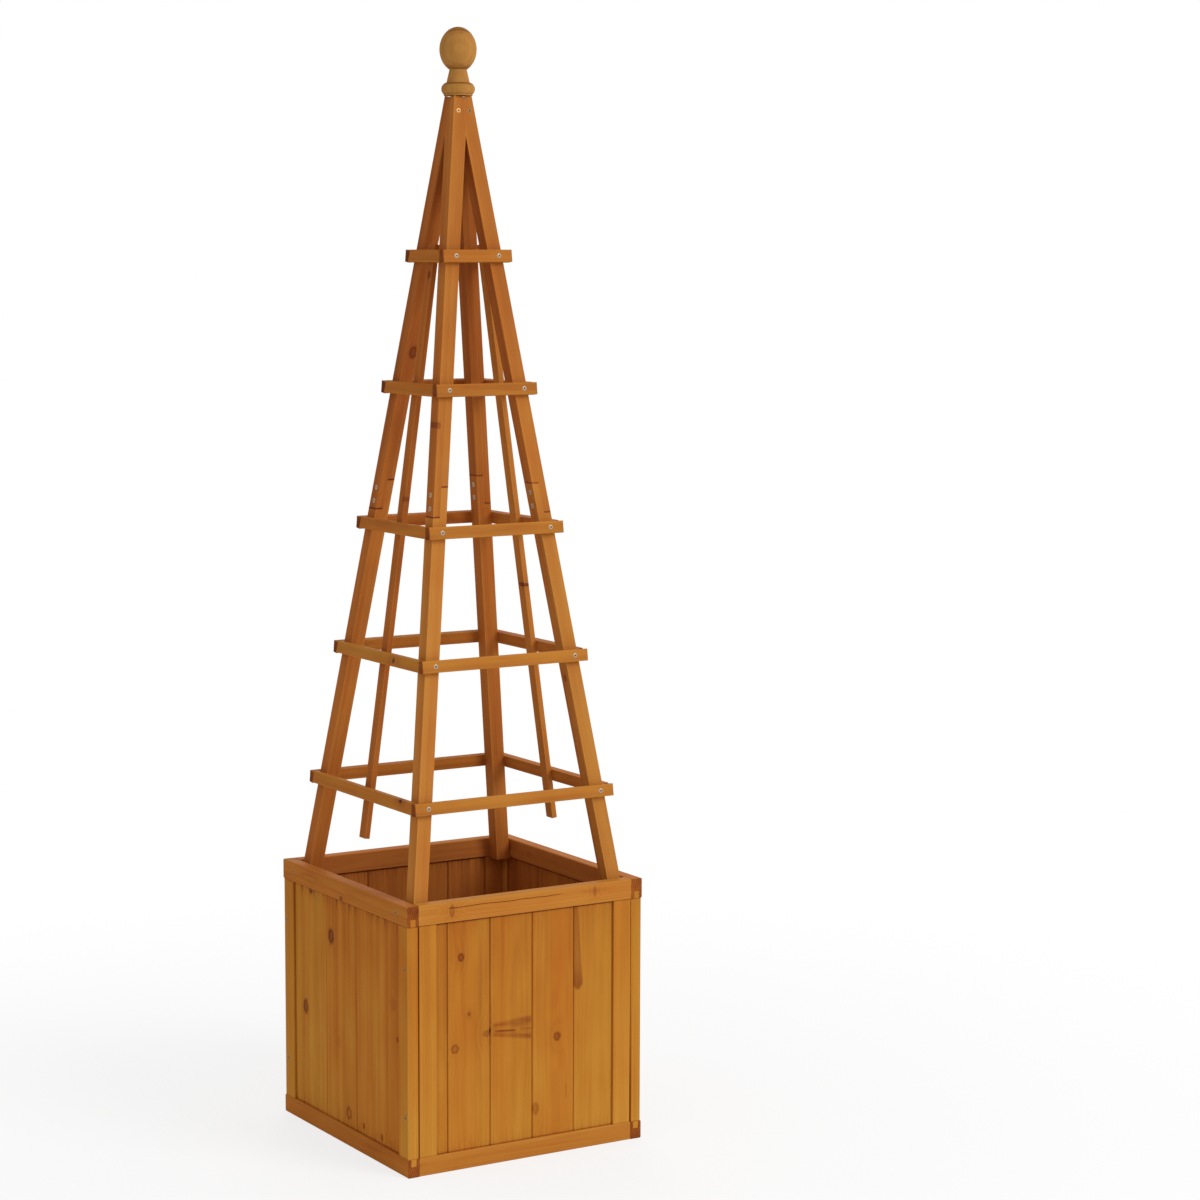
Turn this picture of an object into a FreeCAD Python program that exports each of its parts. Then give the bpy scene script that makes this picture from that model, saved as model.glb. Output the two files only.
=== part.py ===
import FreeCAD, Part
import math
import os
from types import SimpleNamespace

import Sketcher
from FreeCAD import Vector

# A square planter box of grooved frames and boards, with a four-legged trellis standing in it.
# Origin under the middle of the box, +Z up, the front of the box towards -Y. Millimetres.

# Driving dimensions: name, value, what it measures
SIZES = [
    ("box_width", 400, "outside width of the box, along X"),
    ("box_depth", 400, "outside depth of the box, along Y"),
    ("box_height", 400, "height of the rim"),
    ("rail_thickness", 19, "thickness of every rail"),
    ("top_rail_height", 30, "height of the top rails"),
    ("bottom_rail_height", 27, "height of the bottom rails"),
    ("stile_width", 30, "width of the uprights at the panel ends"),
    ("stile_thickness", 17, "thickness of the uprights, set back from the rails"),
    ("groove_width", 9, "width of the groove in rails and stiles"),
    ("groove_depth", 11, "depth of the groove in rails and stiles"),
    ("groove_play", 0.2, "room left round what slides into a groove"),
    ("front_pitch", 71.7, "cover width of a front or back board"),
    ("front_first_cover", 67.4, "shown width of the front or back board that starts at a stile"),
    ("side_pitch", 97, "cover width of a left or right board"),
    ("side_first_cover", 104, "shown width of the left or right board that starts at a stile"),
    ("least_board", 12, "narrowest ripped board that is worth fitting"),
    ("tongue_length", 5, "length of a board's tongue"),
    ("tongue_thickness", 3, "thickness of a board's tongue"),
    ("board_bevel", 1.5, "bevel on the shown edges of a board"),
    ("edge_easing", 1.2, "flat that takes off the sharp edges of rails and stiles"),
    ("floor_thickness", 15, "thickness of the floor boards"),
    ("floor_gap", 8, "drainage gap between floor boards"),
    ("floor_play", 1, "room between the floor boards and the rails"),
    ("batten_size", 20, "side of the square battens under the floor"),
    ("batten_raise", 3, "height of the battens above the ground"),
    ("leg_size", 22.6, "side of a leg, measured level"),
    ("leg_foot_drop", 32, "how far the legs reach below the rim"),
    ("leg_wall_gap", 0.3, "room between a leg's foot and the rail beside it"),
    ("leg_rise", 1160, "height of the top of the legs above the rim"),
    ("apex_half", 14.5, "half width of the four legs together at the top"),
    ("lap_rise", 569, "height of the middle of the half laps above the rim"),
    ("lap_length", 43.5, "length of the half laps"),
    ("slat_height", 18, "width of a slat up the leg"),
    ("slat_thickness", 11, "thickness of a slat"),
    ("slat_easing", 0.8, "flat on the outer edges of a slat"),
    ("slat_end_gap", 0.3, "room between a side slat's end and the slat that covers it"),
    ("ring_rise_1", 924.3, "height of the top ring of slats above the rim"),
    ("ring_rise_2", 729.3, "height of the second ring above the rim"),
    ("ring_rise_3", 524.3, "height of the third ring above the rim"),
    ("ring_rise_4", 333.3, "height of the fourth ring above the rim"),
    ("ring_rise_5", 131, "height of the lowest ring above the rim"),
    ("strip_width", 18, "width of a centre strip"),
    ("strip_thickness", 8, "thickness of a centre strip"),
    ("strip_foot_rise", 64, "height of a strip's foot above the rim"),
    ("strip_top_rise", 942.5, "height of a strip's top above the rim"),
    ("finial_base_radius", 21.4, "radius of the finial's flat foot"),
    ("collar_height", 19.5, "height of the finial's rounded collar"),
    ("collar_radius", 24.9, "largest radius of the collar"),
    ("flare_radius", 17.2, "radius where the finial's tapered stem leaves the collar"),
    ("neck_radius", 12.8, "radius of the finial's neck"),
    ("neck_rise", 18.9, "height of the neck above the collar"),
    ("ball_radius", 27.5, "radius of the finial's ball"),
    ("ball_half_height", 33, "half height of the whole oval, part of which the neck takes"),
    ("dowel_diameter", 6, "diameter of the dowel screw under the finial"),
    ("dowel_length", 60, "length of the dowel screw"),
    ("dowel_play", 0.15, "room between the dowel screw and its hole"),
]
RINGS = (1, 2, 3, 4, 5)
FLOOR_BOARDS = 5
QUARTER_TURN, FULL_TURN = 90, 360
# Straight cuts that turn each round stretch of the finial
COLLAR_CUTS, BALL_CUTS = 9, 17
ENDS = (-1, 1)

document = FreeCAD.newDocument("trellis_planter")
sheet = document.addObject("Spreadsheet::Sheet", "Sizes")
for row, (name, value, note) in enumerate(SIZES, start=1):
    sheet.set("A%d" % row, name)
    sheet.set("B%d" % row, str(value))
    sheet.setAlias("B%d" % row, name)
    sheet.set("C%d" % row, note)
document.recompute()


class Size:
    """A length worked out from the sheet: its value, and the expression that binds it."""

    def __init__(self, value, text):
        self.value = value
        self.text = text

    def combine(self, sign, other, value):
        return Size(value, "(%s %s %s)" % (self.text, sign, other.text))

    def __add__(self, other):
        other = as_size(other)
        return self.combine("+", other, self.value + other.value)

    def __sub__(self, other):
        other = as_size(other)
        return self.combine("-", other, self.value - other.value)

    def __mul__(self, other):
        other = as_size(other)
        return self.combine("*", other, self.value * other.value)

    def __truediv__(self, other):
        other = as_size(other)
        return self.combine("/", other, self.value / other.value)

    def __radd__(self, other):
        return as_size(other) + self

    def __rsub__(self, other):
        return as_size(other) - self

    def __rmul__(self, other):
        return as_size(other) * self

    def __rtruediv__(self, other):
        return as_size(other) / self

    def __neg__(self):
        return Size(-self.value, "(-%s)" % self.text)


def as_size(item):
    if isinstance(item, Size):
        return item
    return Size(float(item), "(%r)" % float(item))


def square_root(item):
    return Size(math.sqrt(item.value), "sqrt(%s)" % item.text)


def cosine(degrees):
    return Size(math.cos(math.radians(degrees.value)), "cos(%s)" % degrees.text)


def sine(degrees):
    return Size(math.sin(math.radians(degrees.value)), "sin(%s)" % degrees.text)


def arc_cosine(ratio):
    """The angle, in degrees, that has this cosine."""
    return Size(math.degrees(math.acos(ratio.value)), "(acos(%s) / (1 deg))" % ratio.text)


mm = SimpleNamespace(**{name: Size(float(sheet.get(name)), "Sizes." + name) for name, _, _ in SIZES})
ZERO = as_size(0)

# Heights and leans of the trellis, worked out once
RIM = mm.box_height
APEX = RIM + mm.leg_rise
FOOT = RIM - mm.leg_foot_drop
LAP_BOTTOM = RIM + mm.lap_rise - mm.lap_length / 2
LAP_TOP = RIM + mm.lap_rise + mm.lap_length / 2
RING_HEIGHT = {ring: RIM + getattr(mm, "ring_rise_%d" % ring) for ring in RINGS}
INNER_HALF_WIDTH = mm.box_width / 2 - mm.rail_thickness
INNER_HALF_DEPTH = mm.box_depth / 2 - mm.rail_thickness
LEAN_X = (INNER_HALF_WIDTH - mm.leg_wall_gap - mm.apex_half) / (APEX - FOOT)
LEAN_Y = (INNER_HALF_DEPTH - mm.leg_wall_gap - mm.apex_half) / (APEX - FOOT)


def face_x(height):
    """Distance from the middle to the outer leg faces on the left and right, at a height."""
    return mm.apex_half + (APEX - height) * LEAN_X


def face_y(height):
    """Distance from the middle to the outer leg faces at the front and back, at a height."""
    return mm.apex_half + (APEX - height) * LEAN_Y


def slope_cosine(lean):
    return 1 / square_root(1 + lean * lean)


# Helpers that make document objects

nodes = {}


def keep(name, item):
    """Name a finished piece and list it for writing."""
    item.Label = name
    nodes[name] = item
    return item


def place(item, base, axis=None, angle=None):
    """Bind an object's whole placement: a base point and, if given, a turn about an axis."""
    point = "vector(%s; %s; %s)" % tuple(as_size(number).text for number in base)
    turn = "rotation(vector(0; 0; 1); 0)"
    if axis:
        turn = "rotation(vector(%s; %s; %s); %s)" % (*(as_size(number).text for number in axis), angle)
    item.setExpression("Placement", "placement(%s; %s)" % (point, turn))


def primitive(kind, name, **sizes):
    """A Part primitive whose named properties are bound to the sheet."""
    item = document.addObject(kind, name)
    for prop, number in sizes.items():
        item.setExpression(prop, as_size(number).text)
    return item


def boolean(kind, name, base, tool):
    item = document.addObject(kind, name)
    item.Base = base
    item.Tool = tool
    item.Refine = True
    return item


def new_body(name):
    return document.addObject("PartDesign::Body", name)


def outline(body, role, corners, lift=ZERO):
    """A closed sketch on an origin plane, with each corner (across, along) bound to the sheet."""
    sketch = body.newObject("Sketcher::SketchObject", body.Name + "_outline")
    plane = next(item for item in body.Origin.OriginFeatures if item.Role == role)
    sketch.AttachmentSupport = (plane, "")
    sketch.MapMode = "FlatFace"
    sketch.setExpression("AttachmentOffset.Base.z", lift.text)
    pairs = [(as_size(across), as_size(along)) for across, along in corners]
    points = [Vector(across.value, along.value, 0) for across, along in pairs]
    for first, last in zip(points, points[1:] + points[:1]):
        sketch.addGeometry(Part.LineSegment(first, last), False)
    for index, (across, along) in enumerate(pairs):
        sketch.addConstraint(Sketcher.Constraint("Coincident", (index - 1) % len(pairs), 2, index, 1))
        bind(sketch, Sketcher.Constraint("DistanceX", -1, 1, index, 1, across.value), across)
        bind(sketch, Sketcher.Constraint("DistanceY", -1, 1, index, 1, along.value), along)
    return sketch


def bind(sketch, constraint, size):
    sketch.setExpression("Constraints[%d]" % sketch.addConstraint(constraint), size.text)


def round_stretch(centre, radii, start, stop, cuts):
    """Corners along an oval arc from one angle up to, but without, another, in equal steps of angle."""
    angles = [start + (stop - start) * step / cuts for step in range(cuts)]
    return [(centre[0] + radii[0] * cosine(turn), centre[1] + radii[1] * sine(turn)) for turn in angles]


def pad(body, sketch, length, symmetric=False, backwards=False):
    feature = body.newObject("PartDesign::Pad", body.Name + "_pad")
    feature.Profile = sketch
    feature.SideType = "Symmetric" if symmetric else "One side"
    feature.Reversed = backwards
    feature.setExpression("Length", length.text)
    body.Tip = feature
    return feature


SIDE_SIGN = {"front": -1, "back": 1, "left": -1, "right": 1}


# The planter box


def channel(thickness, height):
    """Section of a grooved bar: across its thickness, and from its grooved edge outwards."""
    half = thickness / 2
    groove = mm.groove_width / 2
    ease = mm.edge_easing
    return [
        (-half, ease), (-half + ease, ZERO), (-groove, ZERO), (-groove, mm.groove_depth),
        (groove, mm.groove_depth), (groove, ZERO), (half - ease, ZERO), (half, ease),
        (half, height - ease), (half - ease, height), (-half + ease, height), (-half, height - ease),
    ]


def rectangle(left, right, low, high):
    return [(left, low), (right, low), (right, high), (left, high)]


def rail(side, level):
    """A grooved rail: side rails run the full depth, front and back rails fit between them."""
    name = "%s_%s_rail" % (side, level)
    sign = SIDE_SIGN[side]
    across_x = side in ("left", "right")
    height = mm.top_rail_height if level == "top" else mm.bottom_rail_height
    span = mm.box_width if across_x else mm.box_depth
    middle = sign * (span / 2 - mm.rail_thickness / 2)
    section = channel(mm.rail_thickness, height)
    if level == "top":
        corners = [(middle + a, RIM - height + b) for a, b in section]
    else:
        corners = [(middle + a, height - b) for a, b in section]
    body = new_body(name + "_body")
    plane = "XZ_Plane" if across_x else "YZ_Plane"
    length = mm.box_depth if across_x else 2 * INNER_HALF_WIDTH
    pad(body, outline(body, plane, corners), length, symmetric=True)
    return keep(name, body)


def stile(side, end):
    """A grooved upright with a stub tenon at each end that fills the rails' grooves."""
    sign = SIDE_SIGN[side]
    across_x = side in ("left", "right")
    end_word = {-1: "front", 1: "back"}[end] if across_x else {-1: "left", 1: "right"}[end]
    name = "%s_panel_%s_stile" % (side, end_word)
    panel_half = mm.box_depth / 2 if across_x else INNER_HALF_WIDTH
    span = mm.box_width if across_x else mm.box_depth
    middle = sign * (span / 2 - mm.rail_thickness / 2)
    grooved_edge = panel_half - mm.stile_width
    shoulder = mm.bottom_rail_height
    length = RIM - mm.top_rail_height - shoulder
    tenon_length = mm.groove_depth - mm.groove_play
    tenon_half = mm.groove_width / 2 - mm.groove_play
    tenon_edge = panel_half - (mm.stile_width - mm.groove_depth)
    tenon = rectangle(-tenon_half, tenon_half, tenon_edge, panel_half)
    section = [(a, grooved_edge + b) for a, b in channel(mm.stile_thickness, mm.stile_width)]
    body = new_body(name + "_body")
    full_pad = (section, shoulder, length)
    tenon_pad = (tenon, shoulder - tenon_length, length + 2 * tenon_length)
    for shape, low, tall in (full_pad, tenon_pad):
        if across_x:
            corners = [(middle + a, end * b) for a, b in shape]
        else:
            corners = [(end * b, middle + a) for a, b in shape]
        pad(body, outline(body, "XY_Plane", corners, lift=low), tall)
    return keep(name, body)


def board_outline(start, stop, first, last):
    """Plan of one board: a groove in its starting edge, a tongue on the other, bevelled faces."""
    half = mm.groove_width / 2 - mm.groove_play
    bevel = mm.board_bevel
    tongue = mm.tongue_thickness / 2
    slot = tongue + mm.groove_play
    slot_depth = mm.tongue_length + mm.groove_play
    tip = stop + mm.tongue_length
    starting = [
        (start + bevel, -half), (start, -half + bevel), (start, -slot), (start + slot_depth, -slot),
        (start + slot_depth, slot), (start, slot), (start, half - bevel), (start + bevel, half),
    ]
    stopping = [
        (stop - bevel, half), (stop, half - bevel), (stop, tongue), (tip, tongue),
        (tip, -tongue), (stop, -tongue), (stop, -half + bevel), (stop - bevel, -half),
    ]
    if first:
        starting = [(start, -half), (start, half)]
    if last:
        stopping = [(stop, half), (stop, -half)]
    return starting + stopping


def board_group(side):
    """The upright boards of one panel: full boards from one stile and a ripped one at the other."""
    sign = SIDE_SIGN[side]
    across_x = side in ("left", "right")
    pitch = mm.side_pitch if across_x else mm.front_pitch
    first_cover = mm.side_first_cover if across_x else mm.front_first_cover
    panel_half = mm.box_depth / 2 if across_x else INNER_HALF_WIDTH
    span = mm.box_width if across_x else mm.box_depth
    middle = sign * (span / 2 - mm.rail_thickness / 2)
    opening_half = panel_half - mm.stile_width
    reach = opening_half + mm.groove_depth - mm.groove_play
    room = 2 * opening_half - first_cover - mm.least_board
    full_boards = 1 + int(room.value // pitch.value)
    joints = [opening_half - first_cover - count * pitch for count in reversed(range(full_boards))]
    starts = [-reach] + joints
    stops = joints + [reach]
    bottom = mm.bottom_rail_height - mm.groove_depth
    top = RIM - mm.top_rail_height + mm.groove_depth - mm.groove_play
    boards = []
    for index, (start, stop) in enumerate(zip(starts, stops)):
        plan = board_outline(start, stop, index == 0, index == full_boards)
        if across_x:
            corners = [(middle + b, a) for a, b in plan]
        else:
            corners = [(a, middle + b) for a, b in plan]
        body = new_body("%s_board_%d" % (side, index + 1))
        pad(body, outline(body, "XY_Plane", corners, lift=bottom), top - bottom)
        boards.append(body)
    group = document.addObject("Part::Compound", side + "_board_group")
    group.Links = boards
    return keep(side + "_boards", group)


def floor_batten(side):
    sign = SIDE_SIGN[side]
    name = side + "_floor_batten"
    bar = primitive(
        "Part::Box", name + "_bar", Length=mm.batten_size, Width=2 * INNER_HALF_DEPTH, Height=mm.batten_size
    )
    left = -INNER_HALF_WIDTH if sign < 0 else INNER_HALF_WIDTH - mm.batten_size
    place(bar, (left, -INNER_HALF_DEPTH, mm.batten_raise))
    return keep(name, bar)


def floor_boards():
    """Loose boards across the two battens, with gaps that let water out."""
    room = 2 * (INNER_HALF_DEPTH - mm.floor_play)
    width = (room - (FLOOR_BOARDS - 1) * mm.floor_gap) / FLOOR_BOARDS
    length = 2 * (INNER_HALF_WIDTH - mm.floor_play)
    boards = []
    for index in range(FLOOR_BOARDS):
        board = primitive(
            "Part::Box", "floor_board_%d" % (index + 1), Length=length, Width=width, Height=mm.floor_thickness
        )
        start = -room / 2 + index * (width + mm.floor_gap)
        place(board, (-length / 2, start, mm.batten_raise + mm.batten_size))
        boards.append(board)
    group = document.addObject("Part::Compound", "floor_board_group")
    group.Links = boards
    return keep("floor_boards", group)


# The trellis


def leaning_bar(name, sx, sy, low, high, outer_inset, inner_inset):
    """A bar between two heights whose faces keep to the leaning planes of one corner."""

    def across(height):
        near = face_x(height) - inner_inset
        far = face_x(height) - outer_inset
        return (near, far) if sx > 0 else (-far, -near)

    def along(height):
        near = face_y(height) - mm.leg_size
        far = face_y(height)
        return (-far, -near) if sy > 0 else (near, far)

    x_low, x_high = across(low), across(high)
    z_low, z_high = along(low), along(high)
    bar = primitive(
        "Part::Wedge", name, Ymin=low, Ymax=high,
        Xmin=x_low[0], Xmax=x_low[1], X2min=x_high[0], X2max=x_high[1],
        Zmin=z_low[0], Zmax=z_low[1], Z2min=z_high[0], Z2max=z_high[1],
    )
    place(bar, (0, 0, 0), axis=(1, 0, 0), angle="90 deg")
    return bar


def corner_word(sx, sy):
    return "%s_%s" % ({-1: "front", 1: "back"}[sy], {-1: "left", 1: "right"}[sx])


def lower_leg(sx, sy):
    """A leg from inside the rim up to the half lap, with the lap's tongue on its inner half."""
    name = corner_word(sx, sy) + "_lower_leg"
    full = leaning_bar(name + "_bar", sx, sy, FOOT, LAP_BOTTOM, ZERO, mm.leg_size)
    tongue = leaning_bar(name + "_tongue", sx, sy, LAP_BOTTOM, LAP_TOP, mm.leg_size / 2, mm.leg_size)
    return keep(name, boolean("Part::Fuse", name + "_lapped", full, tongue))


def upper_leg(sx, sy):
    """A leg from the half lap to the apex, mitred there against the other three."""
    name = corner_word(sx, sy) + "_upper_leg"
    tip = APEX + mm.leg_size
    full = leaning_bar(name + "_bar", sx, sy, LAP_TOP, tip, ZERO, mm.leg_size)
    tongue = leaning_bar(name + "_tongue", sx, sy, LAP_BOTTOM, LAP_TOP, ZERO, mm.leg_size / 2)
    lapped = boolean("Part::Fuse", name + "_lapped", full, tongue)
    quarter = primitive(
        "Part::Box", name + "_quarter", Length=mm.box_width / 2, Width=mm.box_depth / 2, Height=tip
    )
    corner_x = 0 if sx > 0 else -mm.box_width / 2
    corner_y = 0 if sy > 0 else -mm.box_depth / 2
    place(quarter, (corner_x, corner_y, 0))
    mitred = boolean("Part::Common", name + "_mitred", lapped, quarter)
    topped = boolean("Part::Cut", name + "_topped", mitred, top_cut(name, sx, sy))
    bore = primitive(
        "Part::Cylinder", name + "_bore",
        Radius=mm.dowel_diameter / 2 + mm.dowel_play, Height=mm.dowel_length + 2 * mm.dowel_play,
    )
    place(bore, (0, 0, APEX - mm.dowel_length / 2 - mm.dowel_play))
    return keep(name, boolean("Part::Cut", name + "_bored", topped, bore))


def top_cut(name, sx, sy):
    """A block whose underside squares off a leg's top, through its outermost corner."""
    side = 4 * mm.leg_size
    block = primitive("Part::Box", name + "_top_cut", Length=side, Width=side, Height=side)
    tilt = square_root(LEAN_X * LEAN_X + LEAN_Y * LEAN_Y)
    axis = (sy * LEAN_Y, -sx * LEAN_X, 0)
    lift = APEX - mm.apex_half * (LEAN_X + LEAN_Y)
    # the block's corner starts half its side out along both tilted edges, so that it covers the leg
    block.setExpression(
        "Placement",
        "placement(vector(0; 0; %s); rotation(vector(%s; %s; 0); atan(%s))) * "
        "placement(vector(-%s / 2; -%s / 2; 0); rotation(vector(0; 0; 1); 0))"
        % (lift.text, axis[0].text, axis[1].text, tilt.text, side.text, side.text),
    )
    return block


def slat(side, ring):
    """A flat bar on the leaning faces of two legs: front and back slats cover the side slats' ends."""
    name = "%s_slat_%d" % (side, ring)
    sign = SIDE_SIGN[side]
    across_x = side in ("left", "right")
    height = RING_HEIGHT[ring]
    half_height = mm.slat_height / 2
    body = new_body(name + "_body")
    if across_x:
        rise = half_height * slope_cosine(LEAN_X)
        low_half = face_y(height - rise) - mm.slat_end_gap
        high_half = face_y(height + rise) - mm.slat_end_gap
        plane = "YZ_Plane"
        place(body, (sign * face_x(height), 0, height), (0, 1, 0), "%d * atan(%s)" % (-sign, LEAN_X.text))
    else:
        low_half = face_x(height) + mm.slat_thickness
        high_half = low_half
        plane = "XZ_Plane"
        place(body, (0, sign * face_y(height), height), (1, 0, 0), "%d * atan(%s)" % (sign, LEAN_Y.text))
    lower_edge = [(-low_half, -half_height), (low_half, -half_height)]
    upper_edge = [(high_half, half_height), (-high_half, half_height)]
    corners = lower_edge + upper_edge
    bar = pad(body, outline(body, plane, corners), mm.slat_thickness, backwards=side in ("back", "left"))
    ease_outer_face(body, bar)
    return keep(name, body)


def ease_outer_face(body, bar):
    """Take the sharp edges off the face of a pad that is farthest from its sketch."""
    document.recompute()
    upright = bar.Profile[0].Placement.Rotation.multVec(Vector(0, 0, 1))
    distances = [abs(face.CenterOfMass.dot(upright)) for face in bar.Shape.Faces]
    farthest = distances.index(max(distances))
    easing = body.newObject("PartDesign::Chamfer", body.Name + "_easing")
    easing.Base = (bar, ["Face%d" % (farthest + 1)])
    easing.setExpression("Size", mm.slat_easing.text)
    body.Tip = easing


def centre_strip(side):
    """A flat strip up the middle of a side face, behind its slats."""
    sign = SIDE_SIGN[side]
    body = new_body(side + "_strip_body")
    stretch = 1 / slope_cosine(LEAN_X)
    foot = mm.strip_foot_rise * stretch
    top = mm.strip_top_rise * stretch
    half = mm.strip_width / 2
    corners = rectangle(-half, half, foot, top)
    pad(body, outline(body, "YZ_Plane", corners), mm.strip_thickness, backwards=side == "right")
    place(body, (sign * face_x(RIM), 0, RIM), (0, 1, 0), "%d * atan(%s)" % (-sign, LEAN_X.text))
    return keep(side + "_centre_strip", body)


# The finial and its dowel screw


def finial():
    """A turned finial: a rounded collar, a tapered stem and an upright oval ball."""
    bore = mm.dowel_diameter / 2 + mm.dowel_play
    bore_top = mm.dowel_length / 2 + mm.dowel_play
    round_radius = mm.collar_height / 2
    round_centre = mm.collar_radius - round_radius
    foot_angle = -arc_cosine((mm.finial_base_radius - round_centre) / round_radius)
    flare_angle = arc_cosine((mm.flare_radius - round_centre) / round_radius)
    flare_height = round_radius + round_radius * sine(flare_angle)
    neck_angle = -arc_cosine(mm.neck_radius / mm.ball_radius)
    ball_centre = flare_height + mm.neck_rise - mm.ball_half_height * sine(neck_angle)
    foot = [(bore, 0), (mm.finial_base_radius, 0)]
    collar = round_stretch(
        (round_centre, round_radius), (round_radius, round_radius), foot_angle, flare_angle, COLLAR_CUTS
    )
    stem = [(mm.flare_radius, flare_height)]
    ball = round_stretch(
        (0, ball_centre), (mm.ball_radius, mm.ball_half_height), neck_angle, as_size(QUARTER_TURN), BALL_CUTS
    )
    middle = [(0, ball_centre + mm.ball_half_height), (0, bore_top), (bore, bore_top)]
    body = new_body("finial_body")
    turning = body.newObject("PartDesign::Revolution", "finial_turning")
    turning.Profile = outline(body, "XZ_Plane", foot + collar + stem + ball + middle)
    turning.ReferenceAxis = (turning.Profile[0], ["V_Axis"])
    turning.Angle = FULL_TURN
    body.Tip = turning
    place(body, (0, 0, APEX))
    return keep("finial", body)


def dowel_screw():
    pin = primitive("Part::Cylinder", "dowel_pin", Radius=mm.dowel_diameter / 2, Height=mm.dowel_length)
    place(pin, (0, 0, APEX - mm.dowel_length / 2))
    return keep("finial_dowel_screw", pin)


# Build every piece

for side_name in SIDE_SIGN:
    for rail_level in ("top", "bottom"):
        rail(side_name, rail_level)
    for panel_end in ENDS:
        stile(side_name, panel_end)
    board_group(side_name)
    for ring_number in RINGS:
        slat(side_name, ring_number)
for side_name in ("left", "right"):
    floor_batten(side_name)
    centre_strip(side_name)
floor_boards()
CORNERS = [(sx, sy) for sx in ENDS for sy in ENDS]
for corner in CORNERS:
    lower_leg(*corner)
    upper_leg(*corner)
finial()
dowel_screw()

# Check and write

document.recompute()
for item in document.Objects:
    if "Invalid" in item.State or "Error" in item.State:
        raise RuntimeError("%s failed: %s" % (item.Label, item.State))
for name, item in nodes.items():
    if item.Shape.isNull() or not item.Shape.isValid():
        raise RuntimeError("%s has no valid shape" % name)
os.makedirs("parts", exist_ok=True)
for name, item in nodes.items():
    item.Shape.exportStep("parts/%s.step" % name)
print("%d pieces written" % len(nodes))
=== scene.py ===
import math
from dataclasses import dataclass

import bpy
import numpy as np
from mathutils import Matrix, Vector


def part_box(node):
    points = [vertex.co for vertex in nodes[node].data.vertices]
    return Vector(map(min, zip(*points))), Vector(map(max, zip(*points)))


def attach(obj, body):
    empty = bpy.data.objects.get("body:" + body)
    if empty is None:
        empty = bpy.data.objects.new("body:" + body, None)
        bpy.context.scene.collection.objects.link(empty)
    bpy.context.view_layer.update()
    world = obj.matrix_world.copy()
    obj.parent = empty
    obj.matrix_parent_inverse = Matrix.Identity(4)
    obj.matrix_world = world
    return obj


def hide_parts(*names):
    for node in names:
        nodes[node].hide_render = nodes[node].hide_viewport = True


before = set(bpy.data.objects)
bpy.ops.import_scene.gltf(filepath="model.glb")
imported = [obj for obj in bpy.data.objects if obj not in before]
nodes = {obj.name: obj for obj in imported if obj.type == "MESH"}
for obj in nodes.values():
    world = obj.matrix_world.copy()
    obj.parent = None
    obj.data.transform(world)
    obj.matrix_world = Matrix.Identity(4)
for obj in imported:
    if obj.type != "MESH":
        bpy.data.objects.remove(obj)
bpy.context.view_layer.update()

# A square planter box of stained pine with a tall four-legged trellis standing in it.
# The shapes come from the frame, in metres. Sizes and places below are in millimetres and angles in
# degrees, unless a name or heading says otherwise. Stain runs from 0, pale, to 1, almost black.

METRE = 1000.0
X_AXIS, Y_AXIS, Z_AXIS = (1.0, 0.0, 0.0), (0.0, 1.0, 0.0), (0.0, 0.0, 1.0)

# Sizes that the frame's pieces have
APEX = 1560.0
APEX_HALF = 14.5
LEAN = 0.139430
LEAN_COSINE = 1 / math.sqrt(1 + LEAN * LEAN)
LEAN_SINE = LEAN * LEAN_COSINE
LEG = 22.6
SLAT_THICKNESS = 11.0
SLAT_HEIGHT = 18.0
STRIP_THICKNESS = 8.0
STRIP_WIDTH = 18.0
RING_HEIGHTS = {1: 1324.3, 2: 1129.3, 3: 924.3, 4: 733.3, 5: 531.0}

SIGN = {"front": -1, "back": 1, "left": -1, "right": 1}
ACROSS_FRONT = ("front", "back")
LEFT_RIGHT = ("left", "right")
seeds = {node: float(index) for index, node in enumerate(sorted(nodes))}
SHADE_STEP = 12.9898


def shade_of(node, spread=0.035):
    """A small fixed difference in shade between pieces, from a sine of the piece's number."""
    return spread * math.sin(seeds[node] * SHADE_STEP)


def panel_axes(side):
    """The level axis along a side of the box, and the one that goes through it."""
    return (X_AXIS, Y_AXIS) if side in ACROSS_FRONT else (Y_AXIS, X_AXIS)


def middle_of(node):
    """The middle of a frame piece's box."""
    low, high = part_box(node)
    return tuple(METRE * (a + b) / 2 for a, b in zip(low, high))


def half_sizes(node, side):
    """Half sizes of a piece of the box along its side, through it and upright."""
    low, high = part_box(node)
    x, y, z = (METRE * (b - a) / 2 for a, b in zip(low, high))
    return (x, y, z) if side in ACROSS_FRONT else (y, x, z)


def leg_face(height):
    """Distance from the middle to the outer face of the legs at a height."""
    return APEX_HALF + (APEX - height) * LEAN


def on_face(side, height):
    """The middle of a leaning side of the trellis at a height."""
    reach = SIGN[side] * leg_face(height)
    return np.array((0.0, reach, height) if side in ACROSS_FRONT else (reach, 0.0, height))


def lean_axes(side):
    """Unit axes up along a leaning side of the trellis and square out of it."""
    sign = SIGN[side]
    if side in ACROSS_FRONT:
        return (0.0, -sign * LEAN_SINE, LEAN_COSINE), (0.0, sign * LEAN_COSINE, LEAN_SINE)
    return (-sign * LEAN_SINE, 0.0, LEAN_COSINE), (sign * LEAN_COSINE, 0.0, LEAN_SINE)


def srgb(red, green, blue):
    """A linear colour from the eight-bit values that a screen shows, by the usual screen curve."""
    shares = np.array([red, green, blue]) / 255.0
    linear = np.where(shares <= 0.04045, shares / 12.92, ((shares + 0.055) / 1.055) ** 2.4)
    return (*linear.tolist(), 1.0)


# Shader building blocks

PLAIN_DETAIL, FINE_DETAIL = 2.0, 3.0
NOISE_MIDDLE = 0.5


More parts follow.
